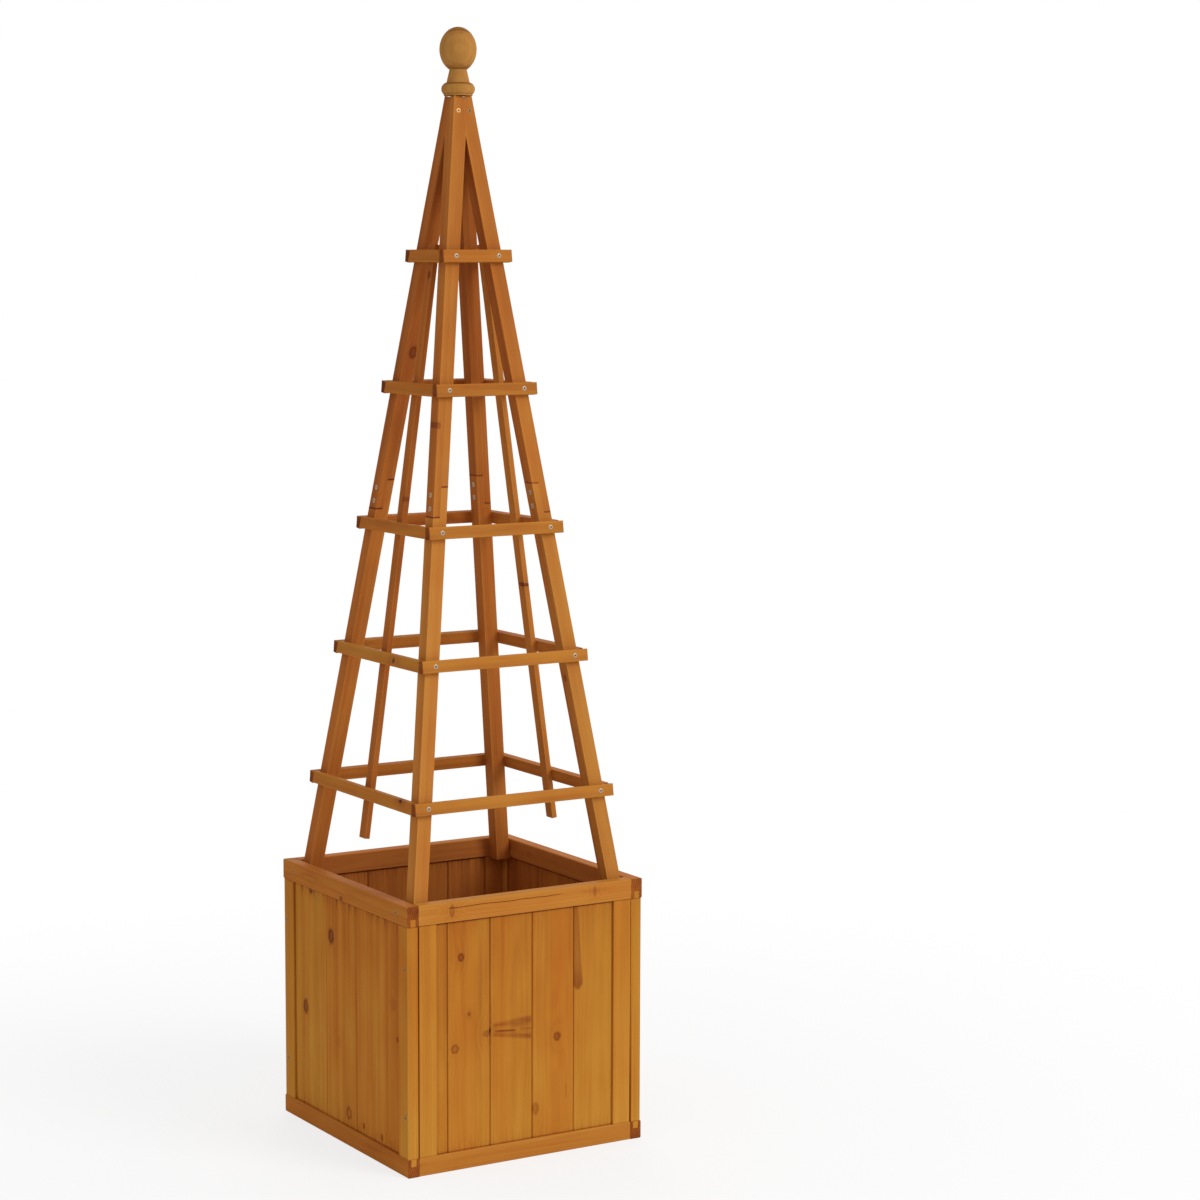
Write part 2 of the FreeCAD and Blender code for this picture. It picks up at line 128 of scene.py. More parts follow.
class Value:
    """A shader socket with arithmetic: each operator adds a Math node to the same tree."""

    def __init__(self, finish, socket):
        self.finish = finish
        self.socket = socket

    def __add__(self, other):
        return self.finish.math("ADD", self, other)

    def __radd__(self, other):
        return self.finish.math("ADD", other, self)

    def __sub__(self, other):
        return self.finish.math("SUBTRACT", self, other)

    def __rsub__(self, other):
        return self.finish.math("SUBTRACT", other, self)

    def __mul__(self, other):
        return self.finish.math("MULTIPLY", self, other)

    def __rmul__(self, other):
        return self.finish.math("MULTIPLY", other, self)

    def __truediv__(self, other):
        return self.finish.math("DIVIDE", self, other)

    def __gt__(self, other):
        return self.finish.math("GREATER_THAN", self, other)

    def __abs__(self):
        return self.finish.math("ABSOLUTE", self)


class Finish:
    """A node tree in the making."""

    def __init__(self, tree):
        self.tree = tree
        tree.nodes.clear()

    def node(self, kind, settings=None, sockets=None, output=0):
        """Add a node: first its settings, then the values or links of its sockets; gives one output."""
        made = self.tree.nodes.new(kind)
        for key, setting in (settings or {}).items():
            if key == "stops":
                self.set_stops(made.color_ramp.elements, setting)
            else:
                setattr(made, key, setting)
        for key, item in (sockets or {}).items():
            if isinstance(item, Value):
                self.tree.links.new(item.socket, made.inputs[key])
            else:
                made.inputs[key].default_value = item
        return Value(self, made.outputs[output]) if len(made.outputs) else None

    @staticmethod
    def set_stops(elements, stops):
        """Give a colour ramp its places and colours."""
        while len(elements) < len(stops):
            elements.new(1.0)
        for element, (position, colour) in zip(elements, stops):
            element.position = position
            element.color = colour

    def math(self, operation, *items):
        """A Math node."""
        return self.node("ShaderNodeMath", {"operation": operation}, dict(enumerate(items)))

    def smooth(self, value, low, high):
        """Rises smoothly from 0 at low to 1 at high; falls where low is the larger."""
        sockets = {"Value": value, "From Min": low, "From Max": high}
        return self.node("ShaderNodeMapRange", {"interpolation_type": "SMOOTHSTEP"}, sockets)

    def window(self, value, rise, fall):
        """1 between a rise and a fall, each given by the two values that it runs between."""
        return self.smooth(value, *rise) * self.smooth(value, *fall)

    def past(self, value, limit, start, stop):
        """Goes smoothly from 0 to 1 between two distances past a limit; one below zero is short of it."""
        return self.smooth(value, limit + start, limit + stop)

    def near(self, value, middle, outer, inner):
        """1 within the inner distance of a middle, falling smoothly to 0 at the outer one."""
        return self.smooth(abs(value - middle), outer, inner)

    def noise(self, along, across, through, detail=PLAIN_DETAIL):
        """Noise between 0 and 1 at a point given by three values."""
        point = self.node("ShaderNodeCombineXYZ", None, {"X": along, "Y": across, "Z": through})
        return self.node("ShaderNodeTexNoise", None, {"Vector": point, "Scale": 1.0, "Detail": detail})

    def mix(self, share, first, second):
        """Mix of two colours, through the sockets that a Mix node has for colours."""
        return self.node("ShaderNodeMix", {"data_type": "RGBA"}, {0: share, 6: first, 7: second}, output=2)

    def dot(self, vector, axis):
        """Dot product of a vector and a fixed axis."""
        sockets = {0: vector, 1: axis}
        return self.node("ShaderNodeVectorMath", {"operation": "DOT_PRODUCT"}, sockets, output=1)

    def facing(self, axis):
        """Cosine of the angle between the way the surface looks and an axis."""
        return self.dot(self.node("ShaderNodeNewGeometry", output="True Normal"), axis)

    def along_axis(self, point, axis, origin):
        """Distance in millimetres along an axis, from an origin given in millimetres."""
        scaled = tuple(METRE * part for part in axis)
        return self.dot(point, scaled) - float(np.dot(axis, origin))


def new_finish(name):
    """A new material and the finish that fills it."""
    material = bpy.data.materials.new(name)
    material.use_nodes = True
    return material, Finish(material.node_tree)


def new_object(name, data):
    """A new object in the scene, at the origin."""
    made = bpy.data.objects.new(name, data)
    bpy.context.scene.collection.objects.link(made)
    return made


# Stained pine

# Screen colours by depth of stain: yellow-brown sapwood, redder heartwood and the finial's paler wood
SAPWOOD = [
    (0.00, (226, 172, 84)),
    (0.30, (203, 145, 58)),
    (0.50, (185, 123, 44)),
    (0.70, (150, 90, 38)),
    (0.85, (113, 68, 35)),
    (1.00, (58, 36, 22)),
]
HEARTWOOD = [
    (0.00, (218, 150, 66)),
    (0.30, (198, 125, 47)),
    (0.50, (180, 105, 36)),
    (0.70, (142, 74, 28)),
    (0.85, (104, 52, 23)),
    (1.00, (54, 29, 16)),
]
TURNED = [
    (0.00, (218, 172, 106)),
    (0.30, (196, 146, 80)),
    (0.50, (179, 126, 63)),
    (0.70, (150, 98, 46)),
    (1.00, (88, 52, 26)),
]
# Painted shade inside the box: the grey that the faces looking in are mixed towards, and how much
INSIDE_GREY = srgb(130, 110, 110)
INSIDE_GREY_SHARE = 0.06


@dataclass
class Grain:
    """How the wood of a piece runs: axes along, across and through it, and the point they start from."""

    along: tuple
    across: tuple
    through: tuple
    origin: tuple


@dataclass
class Boards:
    """Boards side by side in one piece: the joints between them, their middles, and each one's shade."""

    joints: tuple = ()
    middles: tuple = (0.0,)
    tones: tuple = (0.0,)
    warmths: tuple = (0.0,)

    def pick(self, places, table):
        """A stepped value: the table's first before the first joint, the next one past it, and so on."""
        value = float(table[0])
        for joint, before, after in zip(self.joints, table, table[1:]):
            value = value + (places > joint) * float(after - before)
        return value


@dataclass
class Pattern:
    """A noise in the wood.

    It has changes per millimetre along and across the grain, a share of the piece's shift that it starts
    at, and a detail.
    """

    along: float
    across: float
    start: float
    detail: float = PLAIN_DETAIL


WANDER = Pattern(0.003, 0.012, 1.0)
STREAK = Pattern(0.001, 0.085, 1.7, FINE_DETAIL)
BAND = Pattern(0.0008, 0.03, 1.3)
FIBRE = Pattern(0.012, 0.9, 1.0, FINE_DETAIL)
BLOTCH = Pattern(0.008, 0.022, 2.3)
# The shift from one board or piece to the next, the share of it that moves the rings, and their wander
BOARD_SHIFT, PIECE_SHIFT, RING_SHIFT = 7.7, 3.1, 0.37
WANDER_REACH = 11.0

# What patterns, end grain and marks add to the depth of stain, and to the share of heartwood; the marks
# carry painted light and shade, and the last is painted shade inside the box
FIBRE_STAIN, BLOTCH_STAIN, END_STAIN, END_RING_STAIN = 0.13, 0.12, 0.17, 0.1
BAND_RED, BLOTCH_RED, KNOT_RED, MARK_RED, END_RED, INSIDE_SHADE_RED = 1.5, 0.9, 0.3, 1.5, 0.5, 0.9

# Where the late wood of a ring lies, in shares of the ring
LATE_WOOD = ((0.2, 0.85), (1.0, 0.88))
# Cosines between which a face turns into end grain, or into one that looks another way
END_GRAIN = (0.55, 0.8)
OTHER_SIDE = (0.5, 0.8)

# Where the wear of an edge begins and is full, how pale it is at least, and how much paler by fibre
WORN_EDGE = (-2.2, -0.4)
WEAR_LEAST, WEAR_FIBRE = 0.02, 0.1

ROUGHNESS, LATE_GLOSS, BLOTCH_ROUGH, END_ROUGH = 0.6, 0.05, 0.12, 0.12
BUMP_LATE, BUMP_FIBRE = 0.35, 0.5
BUMP_STRENGTH, BUMP_METRES = 0.2, 0.0004
SPECULAR = 0.015


@dataclass
class Knot:
    """A knot by its place along and across the grain, its half sizes, and how dark its core and rim are.

    A side knot shows on the faces that look across, where its second place is measured through the piece.
    """

    along: float
    across: float
    long: float
    wide: float
    core: float = 0.15
    rim: float = 0.12
    side: bool = False


DARK_CORE = {"core": 0.25, "rim": 0.04}
KNOT_RAGGED, KNOT_RAGGED_SCALE = 0.6, 0.25
KNOT_CORE = (1.15, 0.7)
KNOT_RIM = ((0.45, 0.9), (1.4, 1.0))
KNOT_DRAW_OUT, KNOT_FALL_OFF, KNOT_HALO = 0.25, -0.2, 0.2


def knot_marks(finish, u, v, knot):
    """How far a knot pushes the rings aside, and how much it darkens the stain.

    With d the distance from its centre in half sizes, the rim is a band round d = 1 and the core lies
    inside it. The push falls off as exp(-d * d / 5), on a distance drawn out along the grain.
    """
    ragged = finish.noise(u * KNOT_RAGGED_SCALE, v * KNOT_RAGGED_SCALE, knot.along) - NOISE_MIDDLE
    du = (u - knot.along) / knot.long
    dv = (v - knot.across) / knot.wide
    distance = finish.math("SQRT", du * du + dv * dv) + ragged * KNOT_RAGGED
    core = finish.smooth(distance, *KNOT_CORE)
    rim = finish.window(distance, *KNOT_RIM)
    spread = finish.math("EXPONENT", (du * du * KNOT_DRAW_OUT + dv * dv) * KNOT_FALL_OFF)
    push = spread * knot.wide
    dark = core * knot.core + rim * knot.rim + spread * (KNOT_HALO * (knot.core + knot.rim))
    return push, dark


def worn_edges(finish, v, w, half, end, fibre):
    """How much paler the long edges of a piece are than its faces; end grain isn't."""
    edge_v = finish.past(abs(v), half[0], *WORN_EDGE)
    edge_w = finish.past(abs(w), half[1], *WORN_EDGE)
    return edge_v * edge_w * (1.0 - end) * (WEAR_LEAST + WEAR_FIBRE * fibre)


def stained_colour(finish, stain, redness, ramps, paleness):
    """The colour of a depth of stain, from one ramp or from two mixed by the redness."""
    colours = []
    for ramp in ramps:
        stops = [(place, srgb(red, green, blue * paleness)) for place, (red, green, blue) in ramp]
        colours.append(finish.node("ShaderNodeValToRGB", {"stops": stops}, {0: stain}))
    return finish.mix(redness, *colours) if len(colours) > 1 else colours[0]


def pine(name, grain, seed, tone, warmth=0.45, ramps=(SAPWOOD, HEARTWOOD), half=None, boards=Boards(),
         knots=(), marks=None, inside=0, side_warmth=0.0, ring_gap=3.2, ring_depth=0.04,
         pith=(5.0, -34.0), streaks=0.26, paleness=1.0):
    """Stained pine with growth rings about a pith, fine fibres, uneven stain, knots and darker end grain.

    Rings are bands of the distance from the pith, which wanders along the grain; each of the boards has a
    pith, a tone and a warmth of its own. The tone and all that darkens it add up to one depth of stain,
    which one or two ramps turn into colour, and the warmth is the share of the redder ramp. The marks are
    a function that gives more stain, and painted light and shade, by place, which also reddens the wood.
    Faces that look into the box, on the side that the sign of inside gives along the through axis, get
    painted shade: they are redder and mixed a little towards grey. Faces that look across are reddened by
    the side amount, as painted shade. Paleness multiplies the blue of the screen colours.
    """
    material, finish = new_finish(name)
    point = finish.node("ShaderNodeTexCoord", output="Object")
    u = finish.along_axis(point, grain.along, grain.origin)
    v = finish.along_axis(point, grain.across, grain.origin)
    w = finish.along_axis(point, grain.through, grain.origin)
    board = boards.pick(v, range(len(boards.joints) + 1))
    local = v - boards.pick(v, boards.middles)
    shift = board * BOARD_SHIFT + seed * PIECE_SHIFT

    def vary(pattern):
        """A pattern at the place that is being shaded."""
        start = u * pattern.along + shift * pattern.start
        return finish.noise(start, local * pattern.across, w * pattern.across, pattern.detail)

    wander = vary(WANDER) - NOISE_MIDDLE
    streak = vary(STREAK) - NOISE_MIDDLE
    band = vary(BAND) - NOISE_MIDDLE
    blotch = vary(BLOTCH) - NOISE_MIDDLE
    fibre = vary(FIBRE)
    pushes = 0.0
    darks = 0.0
    for knot in knots:
        push, dark = knot_marks(finish, u, w if knot.side else v, knot)
        pushes = pushes + push
        darks = darks + dark
    aside = local - pith[0]
    depth = w - pith[1]
    radius = finish.math("SQRT", aside * aside + depth * depth) + wander * WANDER_REACH + pushes
    phase = finish.math("FRACT", radius / ring_gap + shift * RING_SHIFT)
    late = finish.window(phase, *LATE_WOOD)
    end = finish.smooth(abs(finish.facing(grain.along)), *END_GRAIN)
    stain = tone + boards.pick(v, boards.tones) + late * ring_depth + streak * streaks
    stain = stain + (fibre - NOISE_MIDDLE) * FIBRE_STAIN + blotch * BLOTCH_STAIN + darks
    stain = stain + end * (END_STAIN + late * END_RING_STAIN)
    if half:
        stain = stain - worn_edges(finish, v, w, half, end, fibre)
    redness = warmth + boards.pick(v, boards.warmths) + band * BAND_RED
    redness = redness + blotch * BLOTCH_RED + darks * KNOT_RED + end * END_RED
    if marks:
        extra = marks(finish, u, v, w)
        stain = stain + extra
        redness = redness + extra * MARK_RED
    # Painted shade inside the box: the faces that look in are redder
    if inside:
        facing_in = finish.smooth(finish.facing(grain.through) * float(inside), *OTHER_SIDE)
        redness = redness + facing_in * INSIDE_SHADE_RED
    # Painted shade on the faces that look across: they are redder
    if side_warmth:
        redness = redness + finish.smooth(abs(finish.facing(grain.across)), *OTHER_SIDE) * side_warmth
    colour = stained_colour(finish, stain, redness, ramps, paleness)
    # The painted shade inside the box also mixes those faces a little towards grey
    if inside:
        colour = finish.mix(facing_in * INSIDE_GREY_SHARE, colour, INSIDE_GREY)
    rough = ROUGHNESS - late * LATE_GLOSS + blotch * BLOTCH_ROUGH + end * END_ROUGH
    height = late * BUMP_LATE + fibre * BUMP_FIBRE
    relief = {"Strength": BUMP_STRENGTH, "Distance": BUMP_METRES, "Height": height}
    bump = finish.node("ShaderNodeBump", None, relief)
    shader = finish.node(
        "ShaderNodeBsdfPrincipled", None,
        {"Base Color": colour, "Roughness": rough, "Normal": bump, "Specular IOR Level": SPECULAR},
    )
    finish.node("ShaderNodeOutputMaterial", None, {"Surface": shader})
    return material


def dress(node, material):
    """Give a frame piece its finish."""
    for slot in nodes[node].material_slots:
        slot.material = material


def dress_in_pine(node, grain, tone, **wood):
    """Give a frame piece stained pine of its own."""
    dress(node, pine(node + "_pine", grain, seeds[node], tone, **wood))


# The rails of the box

RAIL_KNOTS = {
    "front_top_rail": [Knot(-126.0, 1.5, 3.5, 9.0, 0.1, 0.1), Knot(117.0, 4.0, 3.0, 6.5, 0.1, 0.09)],
    "left_top_rail": [Knot(6.0, -11.0, 4.0, 3.0, 0.2, 0.1), Knot(112.0, 1.0, 26.0, 5.0, 0.0, 0.03)],
    "right_top_rail": [Knot(100.0, -2.0, 5.0, 4.0, 0.05, 0.04)],
    "right_bottom_rail": [Knot(35.0, 2.0, 6.0, 4.0)],
    "back_bottom_rail": [Knot(-92.0, 3.0, 4.0, 6.0)],
}
RAIL_TONE = 0.47
RAIL_SHADES = {
    "front_top_rail": -0.05, "front_bottom_rail": -0.01,
    "left_top_rail": 0.03, "left_bottom_rail": 0.0,
}
RAIL_WARMTH = 0.5
RAIL_WARMTHS = {
    "front_top_rail": -0.1, "left_top_rail": 0.4, "left_bottom_rail": 0.35,
    "back_top_rail": 0.35, "right_top_rail": 0.3,
}
RAIL_PALENESS = 1.12
RAIL_PITH_ACROSS, RAIL_PITH_OUT = 4.0, 22.0

HAIRLINE = (0.9, 0.2)
CRACK_HEIGHT, CRACK_STAIN = 6.0, 0.38
WAVER, WAVER_SCALE, WAVER_SLICE = 5.0, 0.02, 4.0
CRACK_RUN = ((-133.0, -128.0), (72.0, 40.0))


def rail_crack(finish, u, v, w):
    """A hairline crack that wavers along the front top rail above its middle, from the left knot on."""
    waver = finish.noise(u * WAVER_SCALE, 0.0, WAVER_SLICE) - NOISE_MIDDLE
    off = abs(v - CRACK_HEIGHT - waver * WAVER)
    return finish.smooth(off, *HAIRLINE) * finish.window(u, *CRACK_RUN) * CRACK_STAIN


def finish_rails():
    """Pine for the top and bottom rails of the four sides."""
    for side, sign in SIGN.items():
        along, through = panel_axes(side)
        for level in ("top", "bottom"):
            node = "%s_%s_rail" % (side, level)
            _, thickness, height = half_sizes(node, side)
            dress_in_pine(
                node, Grain(along, Z_AXIS, through, middle_of(node)),
                RAIL_TONE + RAIL_SHADES.get(node, shade_of(node)),
                warmth=RAIL_WARMTH + RAIL_WARMTHS.get(node, 0.0), half=(height, thickness),
                knots=RAIL_KNOTS.get(node, ()), marks=rail_crack if node == "front_top_rail" else None,
                inside=-sign, pith=(RAIL_PITH_ACROSS, RAIL_PITH_OUT * sign), paleness=RAIL_PALENESS,
            )


# The stiles of the box

STILE_TONE = 0.42
STILE_WARMTH = 0.4
STILE_WARMTHS = {"right_panel_front_stile": -0.5, "left_panel_front_stile": 0.15}
STILE_PITH_ACROSS, STILE_PITH_IN = -30.0, -18.0
TENON = 10.8
# Where the painted shadow lines begin and end at the rails, the gap between two panels and the boards, and
# the painted highlight on the corner
SHOULDER_RISE, SHOULDER_FALL = (-1.6, -0.4), (0.4, 0.0)
GAP_ACROSS, GAP_BEHIND = (-1.4, -0.6), (1.0, 0.3)
BOARD_EDGE = (0.8, 0.2)
CORNER_ACROSS, CORNER_OUT = (-6.0, -1.0), (-1.5, -0.5)
# Painted shade of the shoulder lines, the gap and the board edge, and the painted highlight on the outer
# corner
SHOULDER_SHADE, GAP_SHADE, BOARD_EDGE_SHADE, CORNER_HIGHLIGHT = 0.2, 0.36, 0.08, 0.14
# The right gap's painted shadow, and the painted light that replaces it higher up
RIGHT_GAP_FADE, RIGHT_GAP_SHADE, RIGHT_GAP_LIGHT = (60.0, -170.0), 0.65, 0.3
# Painted shade of the box: the height where it is nil, and how much it darkens per millimetre above it
UPWARD_LEVEL, UPWARD_SHADE = 230.0, 0.00036


def painted_rim_shade(height):
    """Painted shade of the box at a height: it darkens evenly towards the rim and lightens towards the
    foot.
    """
    return (height - UPWARD_LEVEL) * UPWARD_SHADE


def stile_marks(side, end, sizes, middle_height):
    """The marks of one stile, all painted light and shade: painted shadow lines along the rails, the boards
    and the gap between two panels, a painted highlight on the outer corner, and the painted rim shade.

    The gap on the right is open only towards the foot, so its painted shadow fades out upwards and higher
    up its face is painted lighter.
    """
    width, thickness, height = sizes
    shoulder = height - TENON

    def marks(finish, u, v, w):
        outwards = v * SIGN[end]
        proud = w * SIGN[side]
        # Painted shadow lines where the stile meets the rails
        lines = finish.past(abs(u), shoulder, *SHOULDER_RISE)
        lines = lines * finish.past(abs(u), shoulder, *SHOULDER_FALL) * SHOULDER_SHADE
        # Painted shadow in the gap between two panels, and a painted highlight on a side stile's outer
        # corner
        if side in ACROSS_FRONT:
            gap = finish.past(outwards, width, *GAP_ACROSS)
            corner = 0.0
        else:
            gap = finish.past(proud, -thickness, *GAP_BEHIND)
            corner = finish.past(outwards, width, *CORNER_ACROSS)
            corner = corner * finish.past(proud, thickness, *CORNER_OUT) * CORNER_HIGHLIGHT
        # On the right the gap's painted shadow fades upwards and turns into painted light
        if "right" in (side, end):
            gap = gap * (finish.smooth(u, *RIGHT_GAP_FADE) * RIGHT_GAP_SHADE - RIGHT_GAP_LIGHT)
        else:
            gap = gap * GAP_SHADE
        # Painted shade on the stile's inner wall beside the boards; the painted rim shade is added too
        board_edge = finish.past(outwards, -width, *BOARD_EDGE) * BOARD_EDGE_SHADE
        return lines + gap + board_edge - corner + painted_rim_shade(u + middle_height)

    return marks


def finish_stiles():
    """Pine for the two stiles of each side."""
    for side, sign in SIGN.items():
        across, through = panel_axes(side)
        for end in (LEFT_RIGHT if side in ACROSS_FRONT else ACROSS_FRONT):
            node = "%s_panel_%s_stile" % (side, end)
            sizes = half_sizes(node, side)
            middle = middle_of(node)
            dress_in_pine(
                node, Grain(Z_AXIS, across, through, middle), STILE_TONE + shade_of(node),
                warmth=STILE_WARMTH + STILE_WARMTHS.get(node, 0.0), half=sizes[:2],
                marks=stile_marks(side, end, sizes, middle[2]), inside=-sign,
                pith=(STILE_PITH_ACROSS, STILE_PITH_IN * sign),
            )


# The boards of the box

FRONT_JOINTS = (-131.5, -59.8, 11.9, 83.6)
FRONT_MIDDLES = (-150.0, -96.0, -24.0, 48.0, 120.0)
SIDE_JOINTS = (-128.0, -31.0, 66.0)
SIDE_MIDDLES = (-160.0, -80.0, 17.0, 118.0)
BOARD_TONE = 0.48
BOARD_TONES = {
    "front": (0.03, 0.0, 0.01, 0.01, -0.01),
    "back": (0.02, -0.02, 0.04, 0.0, 0.03),
    "left": (-0.03, -0.05, -0.05, -0.06),
    "right": (-0.01, 0.03, 0.0, 0.04),
}
BOARD_WARMTHS = {
    "front": (0.0, 0.05, -0.05, 0.05, -0.25),
    "back": (0.1, -0.1, 0.2, 0.0, -0.1),
    "left": (0.7, 0.4, 0.25, -0.05),
    "right": (-0.1, 0.2, 0.0, 0.1),
}
BOARD_STREAKS = {"front": 0.22, "back": 0.26, "left": 0.4, "right": 0.34}
BOARD_RINGS = {"front": 0.032, "back": 0.04, "left": 0.018, "right": 0.03}
BOARD_PITH_ACROSS, BOARD_PITH_IN = 7.0, -46.0
BOARD_KNOTS = {
    "front": [
        Knot(315.0, -108.6, 5.8, 4.8), Knot(229.0, -95.4, 2.6, 2.6, 0.12, 0.1),
        Knot(180.0, -118.9, 6.0, 6.0, 0.1, 0.14), Knot(196.0, -65.5, 5.0, 6.5, 0.12, 0.03),
        Knot(200.0, -60.2, 6.0, 1.6, 0.25, 0.0), Knot(175.8, 54.8, 6.2, 5.8, 0.15, 0.12),
        Knot(71.0, 17.5, 9.5, 5.6, 0.15, 0.04),
    ],
    "left": [
        Knot(307.6, 50.2, 11.5, 8.5, 0.24, 0.12), Knot(180.6, 136.3, 11.0, 7.5, 0.24, 0.12),
        Knot(149.6, 26.3, 6.0, 6.0, 0.02, 0.06), Knot(47.6, -4.9, 8.5, 7.5, 0.07, 0.19),
        Knot(196.2, -161.1, 4.0, 5.0, 0.17, 0.03), Knot(245.0, -146.0, 10.0, 12.0, 0.05, 0.0),
        Knot(40.0, -53.2, 5.0, 4.0, **DARK_CORE), Knot(37.0, -110.0, 6.0, 4.0, **DARK_CORE),
        Knot(364.0, 116.0, 3.5, 5.0, **DARK_CORE),
    ],
    "back": [
        Knot(270.0, 100.0, 6.0, 5.0), Knot(120.0, -20.0, 5.0, 5.0),
        Knot(330.0, -100.0, 5.0, 4.0, **DARK_CORE), Knot(88.0, 46.0, 6.0, 6.0),
        Knot(206.0, -84.0, 4.0, 4.0),
    ],
    "right": [
        Knot(290.0, 20.0, 7.0, 6.0, **DARK_CORE), Knot(150.0, -96.0, 6.0, 5.0),
        Knot(98.0, 118.0, 6.0, 6.0), Knot(232.0, 130.0, 4.0, 4.0), Knot(330.0, -70.0, 5.0, 4.0),
    ],
}

# The branch that the saw cut lengthwise: it starts beside a joint of the front and widens to the right
BRANCH_START, BRANCH_LENGTH, BRANCH_HEIGHT, BRANCH_DROP = -58.0, 69.0, 199.0, 5.0
BRANCH_HALF_WIDTH, BRANCH_FLARE = 8.0, 7.0
# Along it, in shares of its length: its two ends, where the split lies and where the thread begins
BRANCH_RUN = ((0.0, 0.1), (1.0, 0.97))
SPLIT_RUN, THREAD_RUN = (0.35, 0.32, 0.15), (0.65, 0.8)
# Across it, in half widths from its middle: the limits of the body, and the place and reach of the bands
BODY = ((-1.2, -0.8), (1.5, 0.9))
UPPER_BAND, LOWER_BAND = (0.95, 0.55, 0.15), (-0.8, 0.45, 0.1)
SPLIT, THREAD = (-0.12, 0.2, 0.05), (0.02, 0.12, 0.03)
LAYER_SCALE, LAYER_SLICE, DARK_LAYERS = (2.2, 3.4), 7.0, (0.4, 0.65)
BODY_STAIN, LAYER_STAIN, SPLIT_STAIN, THREAD_STAIN = 0.03, 0.06, 0.24, 0.1
# The stain of the two bands where the branch begins, and what its length adds
UPPER_STAIN, LOWER_STAIN = (0.07, 0.04), (0.06, 0.05)


def sawn_branch(finish, u, v):
    """A fan of layered wood with a darker band near each side, a short split and a thread at its middle.

    The length runs from 0 to 1 along the branch; the offset is the height from its middle in half widths.
    """
    length = (v - BRANCH_START) / BRANCH_LENGTH
    width = BRANCH_HALF_WIDTH + length * BRANCH_FLARE
    offset = (u - BRANCH_HEIGHT + length * BRANCH_DROP) / width
    reach = finish.window(length, *BRANCH_RUN)
    layers = finish.noise(length * LAYER_SCALE[0], offset * LAYER_SCALE[1], LAYER_SLICE, FINE_DETAIL)
    body = finish.window(offset, *BODY) * (BODY_STAIN + finish.smooth(layers, *DARK_LAYERS) * LAYER_STAIN)
    upper = finish.near(offset, *UPPER_BAND) * (UPPER_STAIN[0] + length * UPPER_STAIN[1])
    lower = finish.near(offset, *LOWER_BAND) * (LOWER_STAIN[0] + length * LOWER_STAIN[1])
    split = finish.near(offset, *SPLIT) * finish.near(length, *SPLIT_RUN)
    thread = finish.near(offset, *THREAD) * finish.smooth(length, *THREAD_RUN)
    return reach * (body + upper + lower + split * SPLIT_STAIN + thread * THREAD_STAIN)


SAP_JOINT = FRONT_JOINTS[3]
SAP_TOP, SAP_FOOT, SAP_FOOT_FADE, SAP_DARKER = 369.0, 239.0, 6.0, (290.0, 250.0)
SAP_LEFT, SAP_RIGHT = (-0.2, 0.6), (0.8, -0.8)
SAP_WIDTH, SAP_SPREAD, SAP_TIP, SAP_ROUND = 7.0, 0.075, 91.0, 0.12
SAP_STAIN, SAP_FOOT_STAIN = 0.13, 0.07


def sap_streak(finish, u, v):
    """A dark streak that runs down beside the last joint of the front, widens and ends in a round tip."""
    width = SAP_WIDTH + (SAP_TOP - u) * SAP_SPREAD
    from_tip = v - SAP_TIP
    foot = finish.past(u - from_tip * from_tip * SAP_ROUND, SAP_FOOT, 0.0, SAP_FOOT_FADE)
    sap = finish.smooth(v - SAP_JOINT - width, *SAP_RIGHT) * finish.past(v, SAP_JOINT, *SAP_LEFT)
    return sap * foot * (SAP_STAIN + finish.smooth(u, *SAP_DARKER) * SAP_FOOT_STAIN)


CHECK_HEIGHT, CHECK_PLACE, CHECK_SLANT, CHECK_STAIN = 91.0, 70.6, 0.04, 0.2
CHECK_ENDS = (14.0, 8.0)


def short_check(finish, u, v):
    """A short slanting drying check low in a front board."""
    above = u - CHECK_HEIGHT
    line = finish.smooth(abs(v - CHECK_PLACE + above * CHECK_SLANT), *HAIRLINE)
    return line * finish.smooth(abs(above), *CHECK_ENDS) * CHECK_STAIN


# Heights below which the joints are open, how far up they close, and how much of their line is lost
JOINTS_OPEN_BELOW = {"front": 400.0, "back": 400.0, "left": 170.0, "right": 300.0}
JOINT_CLOSING, JOINT_LOSS = 140.0, 0.75
JOINT_LINE, JOINT_STAIN = (1.2, 0.5), 0.16
# Stain of the drips at the foot, and of the drips and painted shade under the top rail, how far they reach
# and how ragged they are
BOARD_DRIPS_AND_SHADE = {"front": (0.07, 0.02), "back": (0.11, 0.11), "left": (0.11, 0.18), "right": (0.11, 0.08)}
FOOT_DRIP_REACH, TOP_DRIP_AND_SHADE_REACH = 34.0, 26.0
DRIP_SCALE, DRIP_SLICE, DRIP_RAGGED = (0.02, 0.3), 3.0, (0.48, 0.62)
# How far the painted shade reaches from the rails and the stile, and the painted shadow lines at the foot
# and the top
BESIDE_RAIL, BESIDE_STILE, BESIDE_SHADE = 4.0, 3.0, 0.09
FOOT_LINE, TOP_LINE, LINE_SHADE, TOP_LINE_SHARE = (1.6, 0.5), (-3.2, -2.0), 0.14, 1.2


